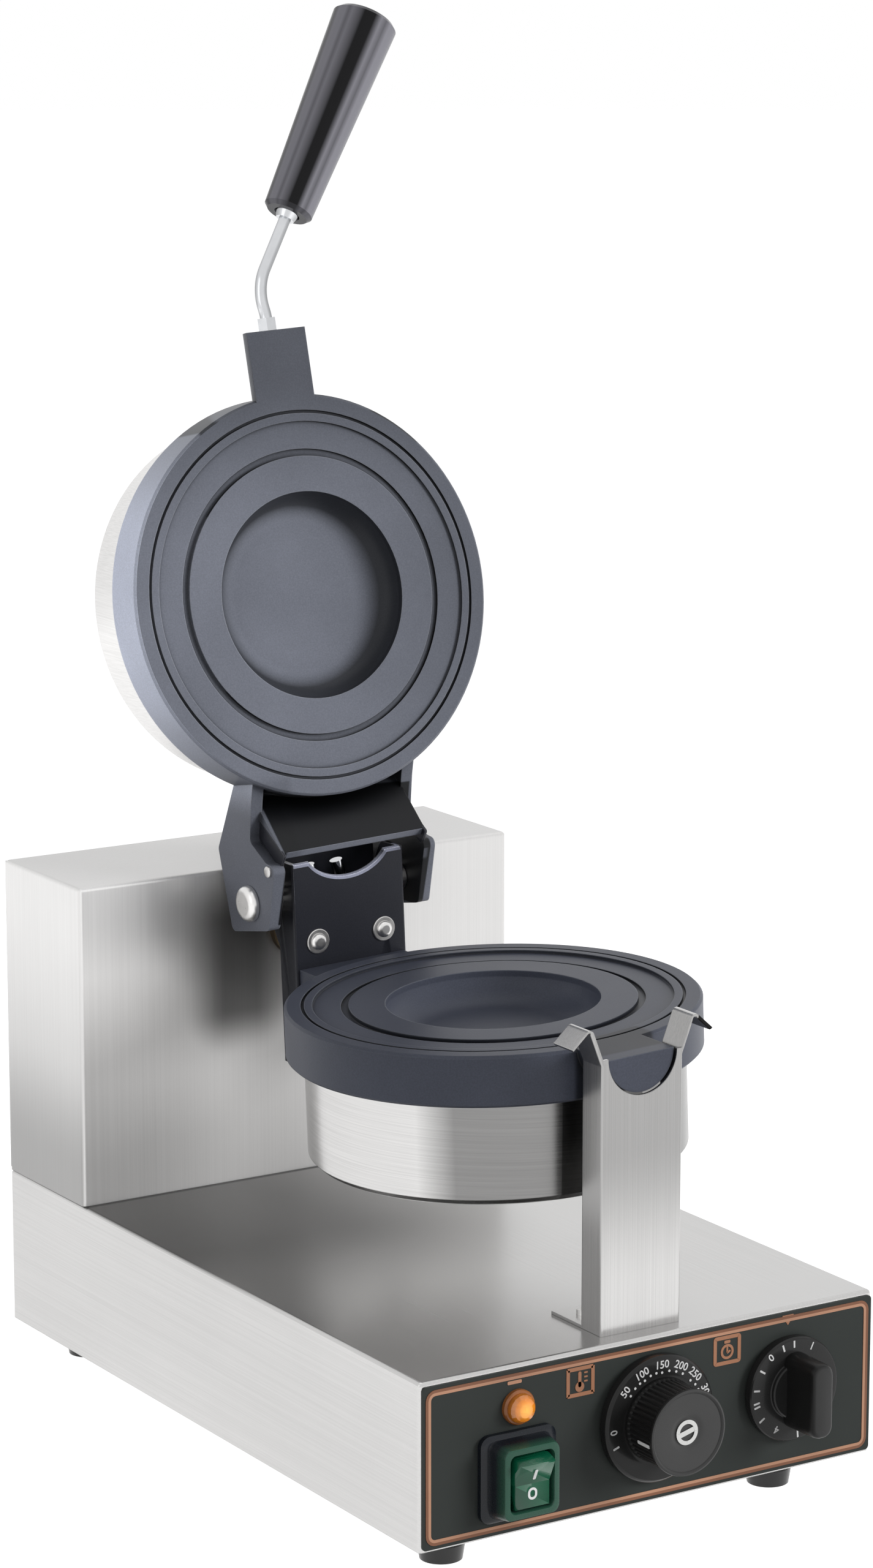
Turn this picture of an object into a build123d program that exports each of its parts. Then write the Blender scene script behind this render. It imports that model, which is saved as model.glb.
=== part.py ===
from build123d import *
from math import asin, cos, radians, sin, tan
import os

# Countertop bun press: a round cooking pan with a hinged lid turns on a shaft between a front post and
# a rear housing, over a low base with its controls. Millimetres. The origin is on the ground under the
# middle of the whole box, +X is to the user's right, -Y is the front and +Z is up. The lid stands open.

os.makedirs("parts", exist_ok=True)

# Base box and its feet
base_width = 250.0
base_depth = 393.0
base_height = 79.0
sheet = 1.2
fold_radius = 2.0
flange_width = 30.0
plate_margin = 4.0
foot_height = 9.0
foot_radius = 11.0
foot_taper = 1.2
foot_recess_radius = 5.0
foot_recess_depth = 3.5
foot_inset_side = 19.0
foot_inset_front = 12.0
foot_inset_rear = 46.0
foot_inset_front_right = 50.0
screw_radius = 2.0
screw_head_radius = 3.8
screw_head_height = 2.2
nut_radius = 4.0
nut_height = 3.0
hole_clearance = 0.15

# Rear housing with its cover
housing_depth = 79.5
housing_height = 162.0
housing_flange = 12.0
cover_margin = 1.0
vent_width = 60.0
vent_height = 4.0
vent_pitch = 10.0
vent_count = 5
wire_hole_radius = 14.0
gland_radius = 8.0
gland_rim = 2.4
gland_bore = 4.0
gland_height = 30.0
gland_side = 70.0

# Front panel and what it carries, measured from the left edge and the bottom of the base
panel_thickness = 1.0
panel_side_margin = 1.0
panel_top_margin = 2.2
panel_bottom_margin = 1.0
border_inset = 3.5
border_width = 1.3
border_radius = 4.0
border_height = 0.3
lamp_x = 51.0
lamp_z = 59.4
lamp_barrel_radius = 6.0
lamp_bezel_radius = 8.4
lamp_bezel_height = 2.2
lamp_lens_radius = 6.9
lamp_lens_height = 5.5
lamp_depth = 24.0
switch_x = 50.0
switch_z = 28.5
switch_width = 31.0
switch_height = 41.0
switch_wall = 3.6
switch_corner = 3.0
switch_stand = 14.0
switch_body_depth = 18.0
rocker_radius = 17.5
rocker_pivot_depth = 6.0
rocker_back = 4.0
rocker_tilt = 9.0
rocker_gap = 0.35
rocker_pin_radius = 1.5
rocker_pin_length = 1.8
dial_z = 41.0
dial_gap = 0.6
dial_shaft_radius = 3.0
dial_shaft_length = 14.0
dial_edge = 1.5
thermostat_x = 125.0
thermostat_skirt_radius = 30.0
thermostat_skirt_height = 6.0
thermostat_grip_radius = 20.0
thermostat_grip_taper = 1.5
thermostat_stand = 28.0
thermostat_body_width = 36.0
thermostat_body_height = 32.0
thermostat_body_depth = 26.0
timer_x = 201.0
timer_skirt_radius = 28.5
timer_skirt_height = 5.0
timer_hub_radius = 17.0
timer_hub_height = 7.0
timer_bar_width = 13.0
timer_bar_length = 46.0
timer_stand = 25.0
timer_body_radius = 26.0
timer_body_depth = 34.0

# Terminal block in the base
terminal_length = 60.0
terminal_width = 20.0
terminal_height = 15.0
terminal_pitch = 10.0
terminal_count = 5

# Front post, folded from sheet, with a round notch for the trunnion
shaft_rise = 129.5
post_setback = 9.7
post_width = 44.0
post_depth = 15.5
post_sheet = 1.5
post_bend = 1.2
post_foot_length = 40.0
post_bolt_setback = 29.0
notch_clearance = 0.8
ear_rise = 15.0
ear_flare = 7.0
ear_flare_start = 3.0
lip_reach = 9.5
lip_drop = 8.5
lip_bend = 1.6

# Cooking plates: one stepped casting shape serves the pan and the lid
front_room = 34.3
hinge_room = 81.2
bracket_gap = 30.2
plate_depth = 24.5
plate_edge = 1.2
rim_width = 8.0
groove_width = 1.5
groove_depth = 1.5
bead_width = 4.0
band_width = 13.5
band_depth = 1.5
trench_width = 3.5
trench_depth = 3.0
annulus_width = 17.5
annulus_depth = 0.8
cavity_lip = 3.0
cavity_slope = 15.0
cavity_depth = 16.0
casting_floor = 6.0
pocket_wall = 6.0
pocket_rim = 13.0
pocket_depth = 10.0
seam = 0.6
heater_radius = 4.0
heater_gap = 0.05
lug_radius = 18.0
lug_root = 6.0
lug_inset = 1.6
lid_lug_radius = 16.5
lid_lug_length = 32.0
stud_radius = 3.0
stud_nut_radius = 6.0
stud_nut_height = 5.0

# Sheet drums behind the plates
drum_inset = 8.5
drum_sheet = 0.8
drum_flange = 8.0
drum_cover_margin = 1.5
pan_drum_depth = 74.0
lid_drum_depth = 62.0
drum_fold = 2.5

# Turning frame between the pan and the shaft
pan_rest_turn = -2.45
bracket_width = 64.0
bracket_sheet = 2.5
bracket_drop = 58.5
bracket_rise = 44.5
bracket_wall_depth = 15.0
bracket_wall_top = 10.0
bracket_window_width = 30.0
bracket_window_height = 22.0
scoop_width = 37.0
scoop_depth = 11.5
bolt_spacing = 38.0
bolt_rise = 3.9
bolt_radius = 2.5
dome_radius = 4.3
dome_height = 3.0
rear_lug_width = 60.0
rear_lug_drop = 9.0
lug_screw_spacing = 24.0
lug_screw_drop = 17.0
lug_screw_reach = 12.0
flange_radius = 27.0
flange_thickness = 6.0
shaft_radius = 9.0
shaft_bore = 5.0
shaft_end_setback = 17.0
bearing_clearance = 0.05
bearing_wall = 4.0
bearing_flange_radius = 17.0
bearing_flange_thickness = 4.0
bearing_length = 14.0
bridge_sheet = 2.5
bridge_width = 90.0
bridge_setback = 48.0
bridge_foot = 20.0
bridge_rise = 24.0
collar_radius = 15.0
collar_width = 8.0
collar_gap = 0.3
sleeve_radius = 4.0
sleeve_bend = 12.0
pan_sleeve_drop = 46.0
lid_sleeve_radius = 3.2
lid_sleeve_spread = 16.0
lid_sleeve_lean = 14.0
lid_sleeve_rise = 32.0

# Hinge of the lid
lid_open_angle = 101.4
hinge_gap = 47.0
hinge_rise = 24.5
hinge_pin_radius = 4.0
hinge_clearance = 0.06
hinge_boss_radius = 10.0
hinge_head_radius = 9.0
hinge_head_height = 4.5
hinge_nut_radius = 6.5
hinge_nut_height = 4.0
hinge_spacer_radius = 7.0
hinge_spacer_gap = 0.3
arm_inner = 40.0
arm_thickness = 6.5
arm_corner = 3.5
arm_root_depth = 15.0
arm_skin = 2.5
arm_crown = 25.0
arm_shoulder = 28.0
arm_heel = 14.0
arm_toe = 17.0
arm_toe_drop = 29.0
arm_toe_height = 8.0
arm_throat = 8.0
arm_neck = 15.0
web_thickness = 3.0
web_root = 11.0
web_gap = 20.5

# Handle on the lid's lug
rod_radius = 3.0
rod_depth = 8.0
rod_root = 20.0
rod_rise = 8.0
rod_straight = 22.0
rod_kick = 2.5
rod_bend = 26.0
handle_lean = 33.4
handle_nut_radius = 5.0
handle_nut_height = 6.5
grip_start = 41.0
grip_length = 114.0
grip_near_radius = 12.4
grip_far_radius = 16.6
grip_crown = 3.0
grip_edge = 2.0
grip_bore_depth = 60.0
ferrule_radius = 6.5
ferrule_length = 5.0
ferrule_seat = 2.0

# Places that follow from the sizes
front_reach = panel_thickness + thermostat_stand
back_reach = sheet + gland_rim
front = (front_reach - back_reach - base_depth) / 2
back = front + base_depth
left = -base_width / 2
base_middle = (front + back) / 2
base_bottom = foot_height
base_top = base_bottom + base_height
axis_z = base_top + shaft_rise
post_front = front + post_setback
housing_front = back - housing_depth
plate_radius = (housing_front - front - front_room - hinge_room) / 2
pan_y = front + front_room + plate_radius
pan_lug_reach = pan_y - post_front - lug_inset
lid_lug_reach = plate_radius + lid_lug_length
rim_inner_radius = plate_radius - rim_width
bead_outer_radius = rim_inner_radius - groove_width
bead_inner_radius = bead_outer_radius - bead_width
band_inner_radius = bead_inner_radius - band_width
annulus_outer_radius = band_inner_radius - trench_width
cavity_radius = annulus_outer_radius - annulus_width
cavity_floor_radius = cavity_radius - cavity_slope
pocket_inner_radius = cavity_radius + pocket_wall
pocket_outer_radius = plate_radius - pocket_rim
heater_ring_radius = (pocket_inner_radius + pocket_outer_radius) / 2
drum_radius = plate_radius - drum_inset
hinge_setback = plate_radius + hinge_gap
housing_top = base_top + housing_height
panel_front = front - panel_thickness
bracket_front = pan_y + plate_radius + bracket_gap
bracket_back = bracket_front + bracket_sheet
hinge_y = pan_y + hinge_setback
hinge_z = axis_z + hinge_rise
shaft_end = back - shaft_end_setback
bridge_y = back - bridge_setback

open_cos = cos(radians(lid_open_angle))
open_sin = sin(radians(lid_open_angle))
lid_y = hinge_y - hinge_setback * open_cos - hinge_rise * open_sin
lid_z = hinge_z + hinge_setback * open_sin - hinge_rise * open_cos


def write(piece, name):
    """Label a finished piece and write it to its own file."""
    piece.part.label = name
    export_step(piece.part, "parts/" + name + ".step")


def write_turned(piece, name):
    """Turn a piece of the pan or the lid about the shaft to where the pan rests, then write it."""
    shaft_line = Axis((0, 0, axis_z), (0, 1, 0))
    turned = piece.part.rotate(shaft_line, pan_rest_turn)
    turned.label = name
    export_step(turned, "parts/" + name + ".step")


def lid_plane(across, along, deep):
    """Plane parallel to the open lid's face: x across, y towards the hinge, z away from the food."""
    spot = (
        across,
        lid_y + along * open_cos + deep * open_sin,
        lid_z - along * open_sin + deep * open_cos,
    )
    return Plane(origin=spot, x_dir=(1, 0, 0), z_dir=(0, open_sin, open_cos))


def pan_plane(across, along, deep):
    """Plane parallel to the level pan's face: x across, z away from the food, so it faces down."""
    spot = (across, pan_y + along, axis_z - deep)
    return Plane(origin=spot, x_dir=(1, 0, 0), z_dir=(0, 0, -1))


def section_of(face_plane):
    """Upright plane through a plate's centre: local x is the radius, local y is the depth."""
    normal = face_plane.x_dir.cross(face_plane.z_dir)
    return Plane(origin=face_plane.origin, x_dir=face_plane.x_dir, z_dir=normal)


# Base shell, open below, with folded-in flanges that take the bottom plate and the feet
housing_screw_places = [
    (side * (base_width / 2 - housing_flange / 2), housing_front + share * housing_depth)
    for side in (-1, 1)
    for share in (0.25, 0.75)
]
foot_places = [
    (left + foot_inset_side, front + foot_inset_front),
    (-left - foot_inset_front_right, front + foot_inset_front),
    (left + foot_inset_side, back - foot_inset_rear),
    (-left - foot_inset_side, back - foot_inset_rear),
]
foot_names = ["foot_front_left", "foot_front_right", "foot_rear_left", "foot_rear_right"]
bridge_bolt_places = [
    (-bridge_width / 2 + bridge_foot / 2, bridge_y + bridge_foot / 2 + bridge_sheet),
    (bridge_width / 2 - bridge_foot / 2, bridge_y + bridge_foot / 2 + bridge_sheet),
]
wire_hole_y = bridge_y + bridge_sheet + bridge_foot / 2
shaft_hole = dial_shaft_radius + 1.5
post_bolt_x = post_width / 4
post_bolt_y = post_front + post_bolt_setback

with BuildPart() as base_shell:
    with BuildSketch(Plane.XY.offset(base_bottom)):
        with Locations((0, base_middle)):
            Rectangle(base_width, base_depth)
    extrude(amount=base_height)
    fillet(base_shell.edges().filter_by(Axis.Z), fold_radius)
    fillet(base_shell.edges().group_by(Axis.Z)[-1], fold_radius)
    offset(amount=-sheet, openings=base_shell.faces().sort_by(Axis.Z)[0])
    with BuildSketch(Plane.XY.offset(base_bottom)):
        with Locations((0, base_middle)):
            Rectangle(base_width - sheet, base_depth - sheet)
            Rectangle(
                base_width - 2 * flange_width,
                base_depth - 2 * flange_width,
                mode=Mode.SUBTRACT,
            )
    extrude(amount=sheet)
    with BuildSketch(Plane.XZ.offset(-front)) as panel_holes:
        with Locations((left + lamp_x, base_bottom + lamp_z)):
            Circle(lamp_barrel_radius + hole_clearance)
        with Locations((left + switch_x, base_bottom + switch_z)):
            Rectangle(
                switch_width - 2 * switch_wall + 2 * hole_clearance,
                switch_height - 2 * switch_wall + 2 * hole_clearance,
            )
        with Locations(
            (left + thermostat_x, base_bottom + dial_z),
            (left + timer_x, base_bottom + dial_z),
        ):
            Circle(shaft_hole)
    extrude(amount=-2 * sheet, mode=Mode.SUBTRACT)
    with BuildSketch(Plane.XY.offset(base_bottom)):
        with Locations(foot_places):
            Circle(screw_radius + hole_clearance)
    extrude(amount=2 * sheet, mode=Mode.SUBTRACT)
    with BuildSketch(Plane.XY.offset(base_top)):
        with Locations((-post_bolt_x, post_bolt_y), (post_bolt_x, post_bolt_y)):
            Circle(screw_radius + hole_clearance)
        with Locations(housing_screw_places):
            Circle(screw_radius + hole_clearance)
        with Locations(bridge_bolt_places):
            Circle(screw_radius + hole_clearance)
        with Locations((0, wire_hole_y)):
            Circle(wire_hole_radius)
    extrude(amount=-2 * sheet, mode=Mode.SUBTRACT)
write(base_shell, "base_shell")

with BuildPart() as base_plate:
    with BuildSketch(Plane.XY.offset(base_bottom)):
        with Locations((0, base_middle)):
            Rectangle(base_width - 2 * plate_margin, base_depth - 2 * plate_margin)
        with Locations(foot_places):
            Circle(screw_radius + hole_clearance, mode=Mode.SUBTRACT)
    extrude(amount=-sheet)
write(base_plate, "base_plate")

for place, foot_name in zip(foot_places, foot_names):
    foot_plane = Plane(origin=(place[0], place[1], 0))
    with BuildPart() as foot:
        with BuildSketch(foot_plane):
            Circle(foot_radius - foot_taper)
        with BuildSketch(foot_plane.offset(foot_height - sheet)):
            Circle(foot_radius)
        loft()
        with BuildSketch(foot_plane):
            Circle(foot_recess_radius)
        extrude(amount=foot_recess_depth, mode=Mode.SUBTRACT)
        with BuildSketch(foot_plane):
            Circle(screw_radius + hole_clearance)
        extrude(amount=foot_height, mode=Mode.SUBTRACT)
    write(foot, foot_name)

with BuildPart() as foot_screws:
    for place in foot_places:
        seat = Plane(origin=(place[0], place[1], foot_recess_depth))
        with BuildSketch(seat.offset(-screw_head_height)):
            Circle(screw_head_radius)
        extrude(amount=screw_head_height)
        with BuildSketch(seat):
            Circle(screw_radius)
        extrude(amount=foot_height + sheet + nut_height - foot_recess_depth + 1.0)
        with BuildSketch(Plane(origin=(place[0], place[1], base_bottom + sheet))):
            RegularPolygon(nut_radius, 6)
        extrude(amount=nut_height)
write(foot_screws, "foot_screws")

# Rear housing: a folded box, open at the back and below, with flanges for its cover and for the base
cover_screw_places = [
    (side * (base_width / 2 - housing_flange / 2), base_top + rise * housing_height)
    for side in (-1, 1)
    for rise in (0.1, 0.5, 0.9)
]
with BuildPart() as rear_housing:
    with BuildSketch(Plane.XY.offset(base_top)):
        with Locations((0, back - housing_depth / 2)):
            Rectangle(base_width, housing_depth)
    extrude(amount=housing_height)
    fillet(rear_housing.edges().filter_by(Axis.Z), fold_radius)
    fillet(rear_housing.edges().group_by(Axis.Z)[-1], fold_radius)
    with BuildSketch(Plane.XY.offset(base_top)):
        with Locations((0, housing_front + housing_depth / 2)):
            Rectangle(base_width - 2 * sheet, housing_depth - 2 * sheet)
    extrude(amount=housing_height - sheet, mode=Mode.SUBTRACT)
    with BuildSketch(Plane.XZ.offset(-back)):
        with Locations((0, base_top + housing_height / 2)):
            Rectangle(base_width - 2 * housing_flange, housing_height - 2 * housing_flange)
    extrude(amount=2 * sheet, mode=Mode.SUBTRACT)
    with BuildSketch(Plane.XY.offset(base_top)):
        with Locations((0, housing_front + housing_depth / 2)):
            Rectangle(base_width - sheet, housing_depth - sheet)
            Rectangle(
                base_width - 2 * housing_flange,
                housing_depth - 2 * housing_flange,
                mode=Mode.SUBTRACT,
            )
    extrude(amount=sheet)
    with BuildSketch(Plane.XZ.offset(-housing_front)):
        with Locations((0, axis_z)):
            Circle(shaft_radius + bearing_wall + hole_clearance)
    extrude(amount=-2 * sheet, mode=Mode.SUBTRACT)
    with BuildSketch(Plane.XZ.offset(-back)):
        with Locations(cover_screw_places):
            Circle(screw_radius + hole_clearance)
    extrude(amount=2 * sheet, mode=Mode.SUBTRACT)
    with BuildSketch(Plane.XY.offset(base_top)):
        with Locations(housing_screw_places):
            Circle(screw_radius + hole_clearance)
    extrude(amount=2 * sheet, mode=Mode.SUBTRACT)
write(rear_housing, "rear_housing")

gland_z = base_top + gland_height
gland_x = -left - gland_side
with BuildPart() as rear_cover:
    with BuildSketch(Plane.XZ.offset(-back)):
        with Locations((0, base_top + housing_height / 2)):
            Rectangle(base_width - 2 * cover_margin, housing_height - 2 * cover_margin)
        with Locations((0, axis_z)):
            with GridLocations(0, vent_pitch, 1, vent_count):
                SlotOverall(vent_width, vent_height, mode=Mode.SUBTRACT)
        with Locations((gland_x, gland_z)):
            Circle(gland_radius - sheet + hole_clearance, mode=Mode.SUBTRACT)
        with Locations(cover_screw_places):
            Circle(screw_radius + hole_clearance, mode=Mode.SUBTRACT)
    extrude(amount=-sheet)
write(rear_cover, "rear_cover")

with BuildPart() as housing_screws:
    for screw_x, screw_z in cover_screw_places:
        with BuildSketch(Plane(origin=(screw_x, back + sheet, screw_z), z_dir=(0, 1, 0))):
            Circle(screw_head_radius)
        extrude(amount=screw_head_height)
        with BuildSketch(Plane(origin=(screw_x, back + sheet, screw_z), z_dir=(0, 1, 0))):
            Circle(screw_radius)
        extrude(amount=-4 * sheet)
    for screw_x, screw_y in housing_screw_places:
        with BuildSketch(Plane(origin=(screw_x, screw_y, base_top + sheet))):
            Circle(screw_head_radius)
        extrude(amount=screw_head_height)
        with BuildSketch(Plane(origin=(screw_x, screw_y, base_top + sheet))):
            Circle(screw_radius)
        extrude(amount=-4 * sheet)
write(housing_screws, "housing_screws")

# The cord isn't part of the model, so the gland in the cover stands empty
with BuildPart() as cable_gland:
    with BuildSketch(Plane.XZ.offset(-back - sheet)):
        with Locations((gland_x, gland_z)):
            Circle(gland_radius + sheet)
    extrude(amount=-gland_rim)
    with BuildSketch(Plane.XZ.offset(-back - sheet)):
        with Locations((gland_x, gland_z)):
            Circle(gland_radius - sheet)
    extrude(amount=3 * sheet)
    with BuildSketch(Plane.XZ.offset(-back - sheet - gland_rim)):
        with Locations((gland_x, gland_z)):
            Circle(gland_bore)
    extrude(amount=3 * sheet + gland_rim, mode=Mode.SUBTRACT)
write(cable_gland, "cable_gland")

# Front panel: a dark sheet over the front of the base, with a raised border line
panel_width = base_width - 2 * panel_side_margin
panel_height = base_height - panel_top_margin - panel_bottom_margin
panel_centre = base_bottom + panel_bottom_margin + panel_height / 2
with BuildPart() as control_panel:
    with BuildSketch(Plane.XZ.offset(-front)):
        with Locations((0, panel_centre)):
            RectangleRounded(panel_width, panel_height, fold_radius)
        with Locations((left + lamp_x, base_bottom + lamp_z)):
            Circle(lamp_barrel_radius + hole_clearance, mode=Mode.SUBTRACT)
        with Locations((left + switch_x, base_bottom + switch_z)):
            Rectangle(
                switch_width - 2 * switch_wall + 2 * hole_clearance,
                switch_height - 2 * switch_wall + 2 * hole_clearance,
                mode=Mode.SUBTRACT,
            )
        with Locations(
            (left + thermostat_x, base_bottom + dial_z),
            (left + timer_x, base_bottom + dial_z),
        ):
            Circle(shaft_hole, mode=Mode.SUBTRACT)
    extrude(amount=panel_thickness)
write(control_panel, "control_panel")

border_outer_width = panel_width - 2 * border_inset
border_outer_height = panel_height - 2 * border_inset
with BuildPart() as panel_border:
    with BuildSketch(Plane.XZ.offset(-panel_front)):
        with Locations((0, panel_centre)):
            RectangleRounded(border_outer_width, border_outer_height, border_radius)
            RectangleRounded(
                border_outer_width - 2 * border_width,
                border_outer_height - 2 * border_width,
                border_radius - border_width,
                mode=Mode.SUBTRACT,
            )
    extrude(amount=border_height)
write(panel_border, "panel_border")

# Pilot lamp: a bezel with its barrel through the panel, and a domed lens
lamp_plane = Plane(
    origin=(left + lamp_x, panel_front, base_bottom + lamp_z),
    x_dir=(1, 0, 0),
    z_dir=(0, -1, 0),
)
lamp_wall = lamp_barrel_radius - 1.2
with BuildPart() as lamp_bezel:
    with BuildSketch(lamp_plane):
        Circle(lamp_bezel_radius)
    extrude(amount=lamp_bezel_height, taper=20)
    with BuildSketch(lamp_plane):
        Circle(lamp_barrel_radius)
    extrude(amount=-lamp_depth)
    with BuildSketch(lamp_plane.offset(lamp_bezel_height)):
        Circle(lamp_wall)
    extrude(amount=-lamp_bezel_height - lamp_depth / 2, mode=Mode.SUBTRACT)
write(lamp_bezel, "lamp_bezel")

with BuildPart() as lamp_lens:
    with BuildSketch(lamp_plane.offset(lamp_bezel_height)):
        Circle(lamp_lens_radius)
    extrude(amount=lamp_lens_height)
    fillet(lamp_lens.faces().sort_by(Axis.Y)[0].edges(), lamp_lens_height / 2)
    with BuildSketch(lamp_plane.offset(lamp_bezel_height)):
        Circle(lamp_wall - hole_clearance)
    extrude(amount=-lamp_depth / 3)
write(lamp_lens, "lamp_lens")

# Rocker switch in a deep square boot
switch_plane = Plane(
    origin=(left + switch_x, panel_front, base_bottom + switch_z),
    x_dir=(1, 0, 0),
    z_dir=(0, -1, 0),
)
switch_inner_width = switch_width - 2 * switch_wall
switch_inner_height = 2 * (rocker_radius + rocker_gap)
rocker_y = panel_front - switch_stand + rocker_pivot_depth
rocker_sweep = rocker_radius * sin(radians(rocker_tilt))
rocker_room = rocker_pivot_depth + rocker_back + rocker_sweep + rocker_gap
with BuildPart() as switch_housing:
    with BuildSketch(switch_plane):
        RectangleRounded(switch_width, switch_height, switch_corner)
    extrude(amount=switch_stand, taper=2)
    fillet(switch_housing.faces().sort_by(Axis.Y)[0].edges(), 1.2)
    with BuildSketch(switch_plane):
        Rectangle(switch_inner_width, switch_height - 2 * switch_wall)
    extrude(amount=-switch_body_depth)
    with BuildSketch(switch_plane.offset(switch_stand)):
        Rectangle(switch_inner_width, switch_inner_height)
    extrude(amount=-rocker_room, mode=Mode.SUBTRACT)
    with BuildSketch(Plane.YZ.offset(left + switch_x)):
        with Locations((rocker_y, base_bottom + switch_z)):
            Circle(rocker_pin_radius + bearing_clearance)
    extrude(
        amount=switch_inner_width / 2 + rocker_pin_length + rocker_gap,
        both=True,
        mode=Mode.SUBTRACT,
    )
write(switch_housing, "switch_housing")

# The rocker is made level and then tipped about its pins to the side that is pressed at rest
rocker_rest = Plane(
    origin=(left + switch_x, rocker_y, base_bottom + switch_z),
    x_dir=(0, cos(radians(rocker_tilt)), sin(radians(rocker_tilt))),
    z_dir=(1, 0, 0),
)
rocker_slope = tan(radians(rocker_tilt))
with BuildPart() as switch_rocker:
    with BuildSketch(rocker_rest):
        Circle(rocker_radius)
        with Locations((rocker_back + rocker_radius, 0)):
            Rectangle(2 * rocker_radius, 2 * rocker_radius, mode=Mode.SUBTRACT)
        with BuildLine():
            Polyline(
                (-rocker_pivot_depth, 0),
                (-rocker_pivot_depth - rocker_radius * rocker_slope, rocker_radius),
                (-2 * rocker_radius, rocker_radius),
                (-2 * rocker_radius, -rocker_radius),
                (-rocker_pivot_depth - rocker_radius * rocker_slope, -rocker_radius),
                close=True,
            )
        make_face(mode=Mode.SUBTRACT)
    extrude(amount=switch_inner_width / 2 - rocker_gap, both=True)
    with BuildSketch(rocker_rest):
        Circle(rocker_pin_radius)
    extrude(amount=switch_inner_width / 2 + rocker_pin_length, both=True)
write(switch_rocker, "switch_rocker")

# Thermostat: body behind the panel, round knob on a flat skirt
thermostat_plane = Plane(
    origin=(left + thermostat_x, panel_front, base_bottom + dial_z),
    x_dir=(1, 0, 0),
    z_dir=(0, -1, 0),
)
body_setback = panel_thickness + sheet
with BuildPart() as thermostat_body:
    with BuildSketch(thermostat_plane.offset(-body_setback)):
        RectangleRounded(thermostat_body_width, thermostat_body_height, fold_radius)
    extrude(amount=-thermostat_body_depth)
    with BuildSketch(thermostat_plane.offset(-body_setback)):
        Circle(dial_shaft_radius)
    extrude(amount=body_setback + dial_shaft_length)
write(thermostat_body, "thermostat_body")

with BuildPart() as thermostat_knob:
    with BuildSketch(thermostat_plane.offset(dial_gap)):
        Circle(thermostat_skirt_radius)
    extrude(amount=thermostat_skirt_height)
    chamfer(thermostat_knob.faces().sort_by(Axis.Y)[0].edges(), dial_edge)
    with BuildSketch(thermostat_plane.offset(dial_gap)):
        Circle(thermostat_grip_radius)
    with BuildSketch(thermostat_plane.offset(thermostat_stand)):
        Circle(thermostat_grip_radius - thermostat_grip_taper)
    loft()
    fillet(thermostat_knob.faces().sort_by(Axis.Y)[0].edges(), dial_edge)
    with BuildSketch(thermostat_plane):
        Circle(dial_shaft_radius + bearing_clearance)
    extrude(amount=dial_shaft_length + dial_gap, mode=Mode.SUBTRACT)
write(thermostat_knob, "thermostat_knob")

# Timer: clockwork body behind the panel, bar knob on a flat skirt
timer_plane = Plane(
    origin=(left + timer_x, panel_front, base_bottom + dial_z),
    x_dir=(1, 0, 0),
    z_dir=(0, -1, 0),
)
with BuildPart() as timer_body:
    with BuildSketch(timer_plane.offset(-body_setback)):
        Circle(timer_body_radius)
    extrude(amount=-timer_body_depth)
    with BuildSketch(timer_plane.offset(-body_setback)):
        Circle(dial_shaft_radius)
    extrude(amount=body_setback + dial_shaft_length)
write(timer_body, "timer_body")

with BuildPart() as timer_knob:
    with BuildSketch(timer_plane.offset(dial_gap)):
        Circle(timer_skirt_radius)
    extrude(amount=timer_skirt_height)
    chamfer(timer_knob.faces().sort_by(Axis.Y)[0].edges(), dial_edge)
    with BuildSketch(timer_plane.offset(dial_gap)):
        Circle(timer_hub_radius)
    extrude(amount=timer_hub_height)
    fillet(timer_knob.faces().sort_by(Axis.Y)[0].edges(), dial_edge)
    with BuildSketch(timer_plane.offset(dial_gap)):
        SlotOverall(timer_bar_length, timer_bar_width, rotation=90)
    extrude(amount=timer_stand - dial_gap, taper=2)
    fillet(timer_knob.faces().sort_by(Axis.Y)[0].edges(), dial_edge)
    with BuildSketch(timer_plane):
        Circle(dial_shaft_radius + bearing_clearance)
    extrude(amount=dial_shaft_length + dial_gap, mode=Mode.SUBTRACT)
write(timer_knob, "timer_knob")

# Terminal block on the bottom plate, where the wires meet
with BuildPart() as terminal_block:
    with BuildSketch(Plane.XY.offset(base_bottom)):
        with Locations((0, base_middle)):
            RectangleRounded(terminal_length, terminal_width, fold_radius)
    extrude(amount=terminal_height)
    with BuildSketch(Plane.XY.offset(base_bottom + terminal_height)):
        with Locations((0, base_middle)):
            with GridLocations(terminal_pitch, 0, terminal_count, 1):
                Circle(screw_radius)
    extrude(amount=-terminal_height / 2, mode=Mode.SUBTRACT)
write(terminal_block, "terminal_block")

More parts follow.
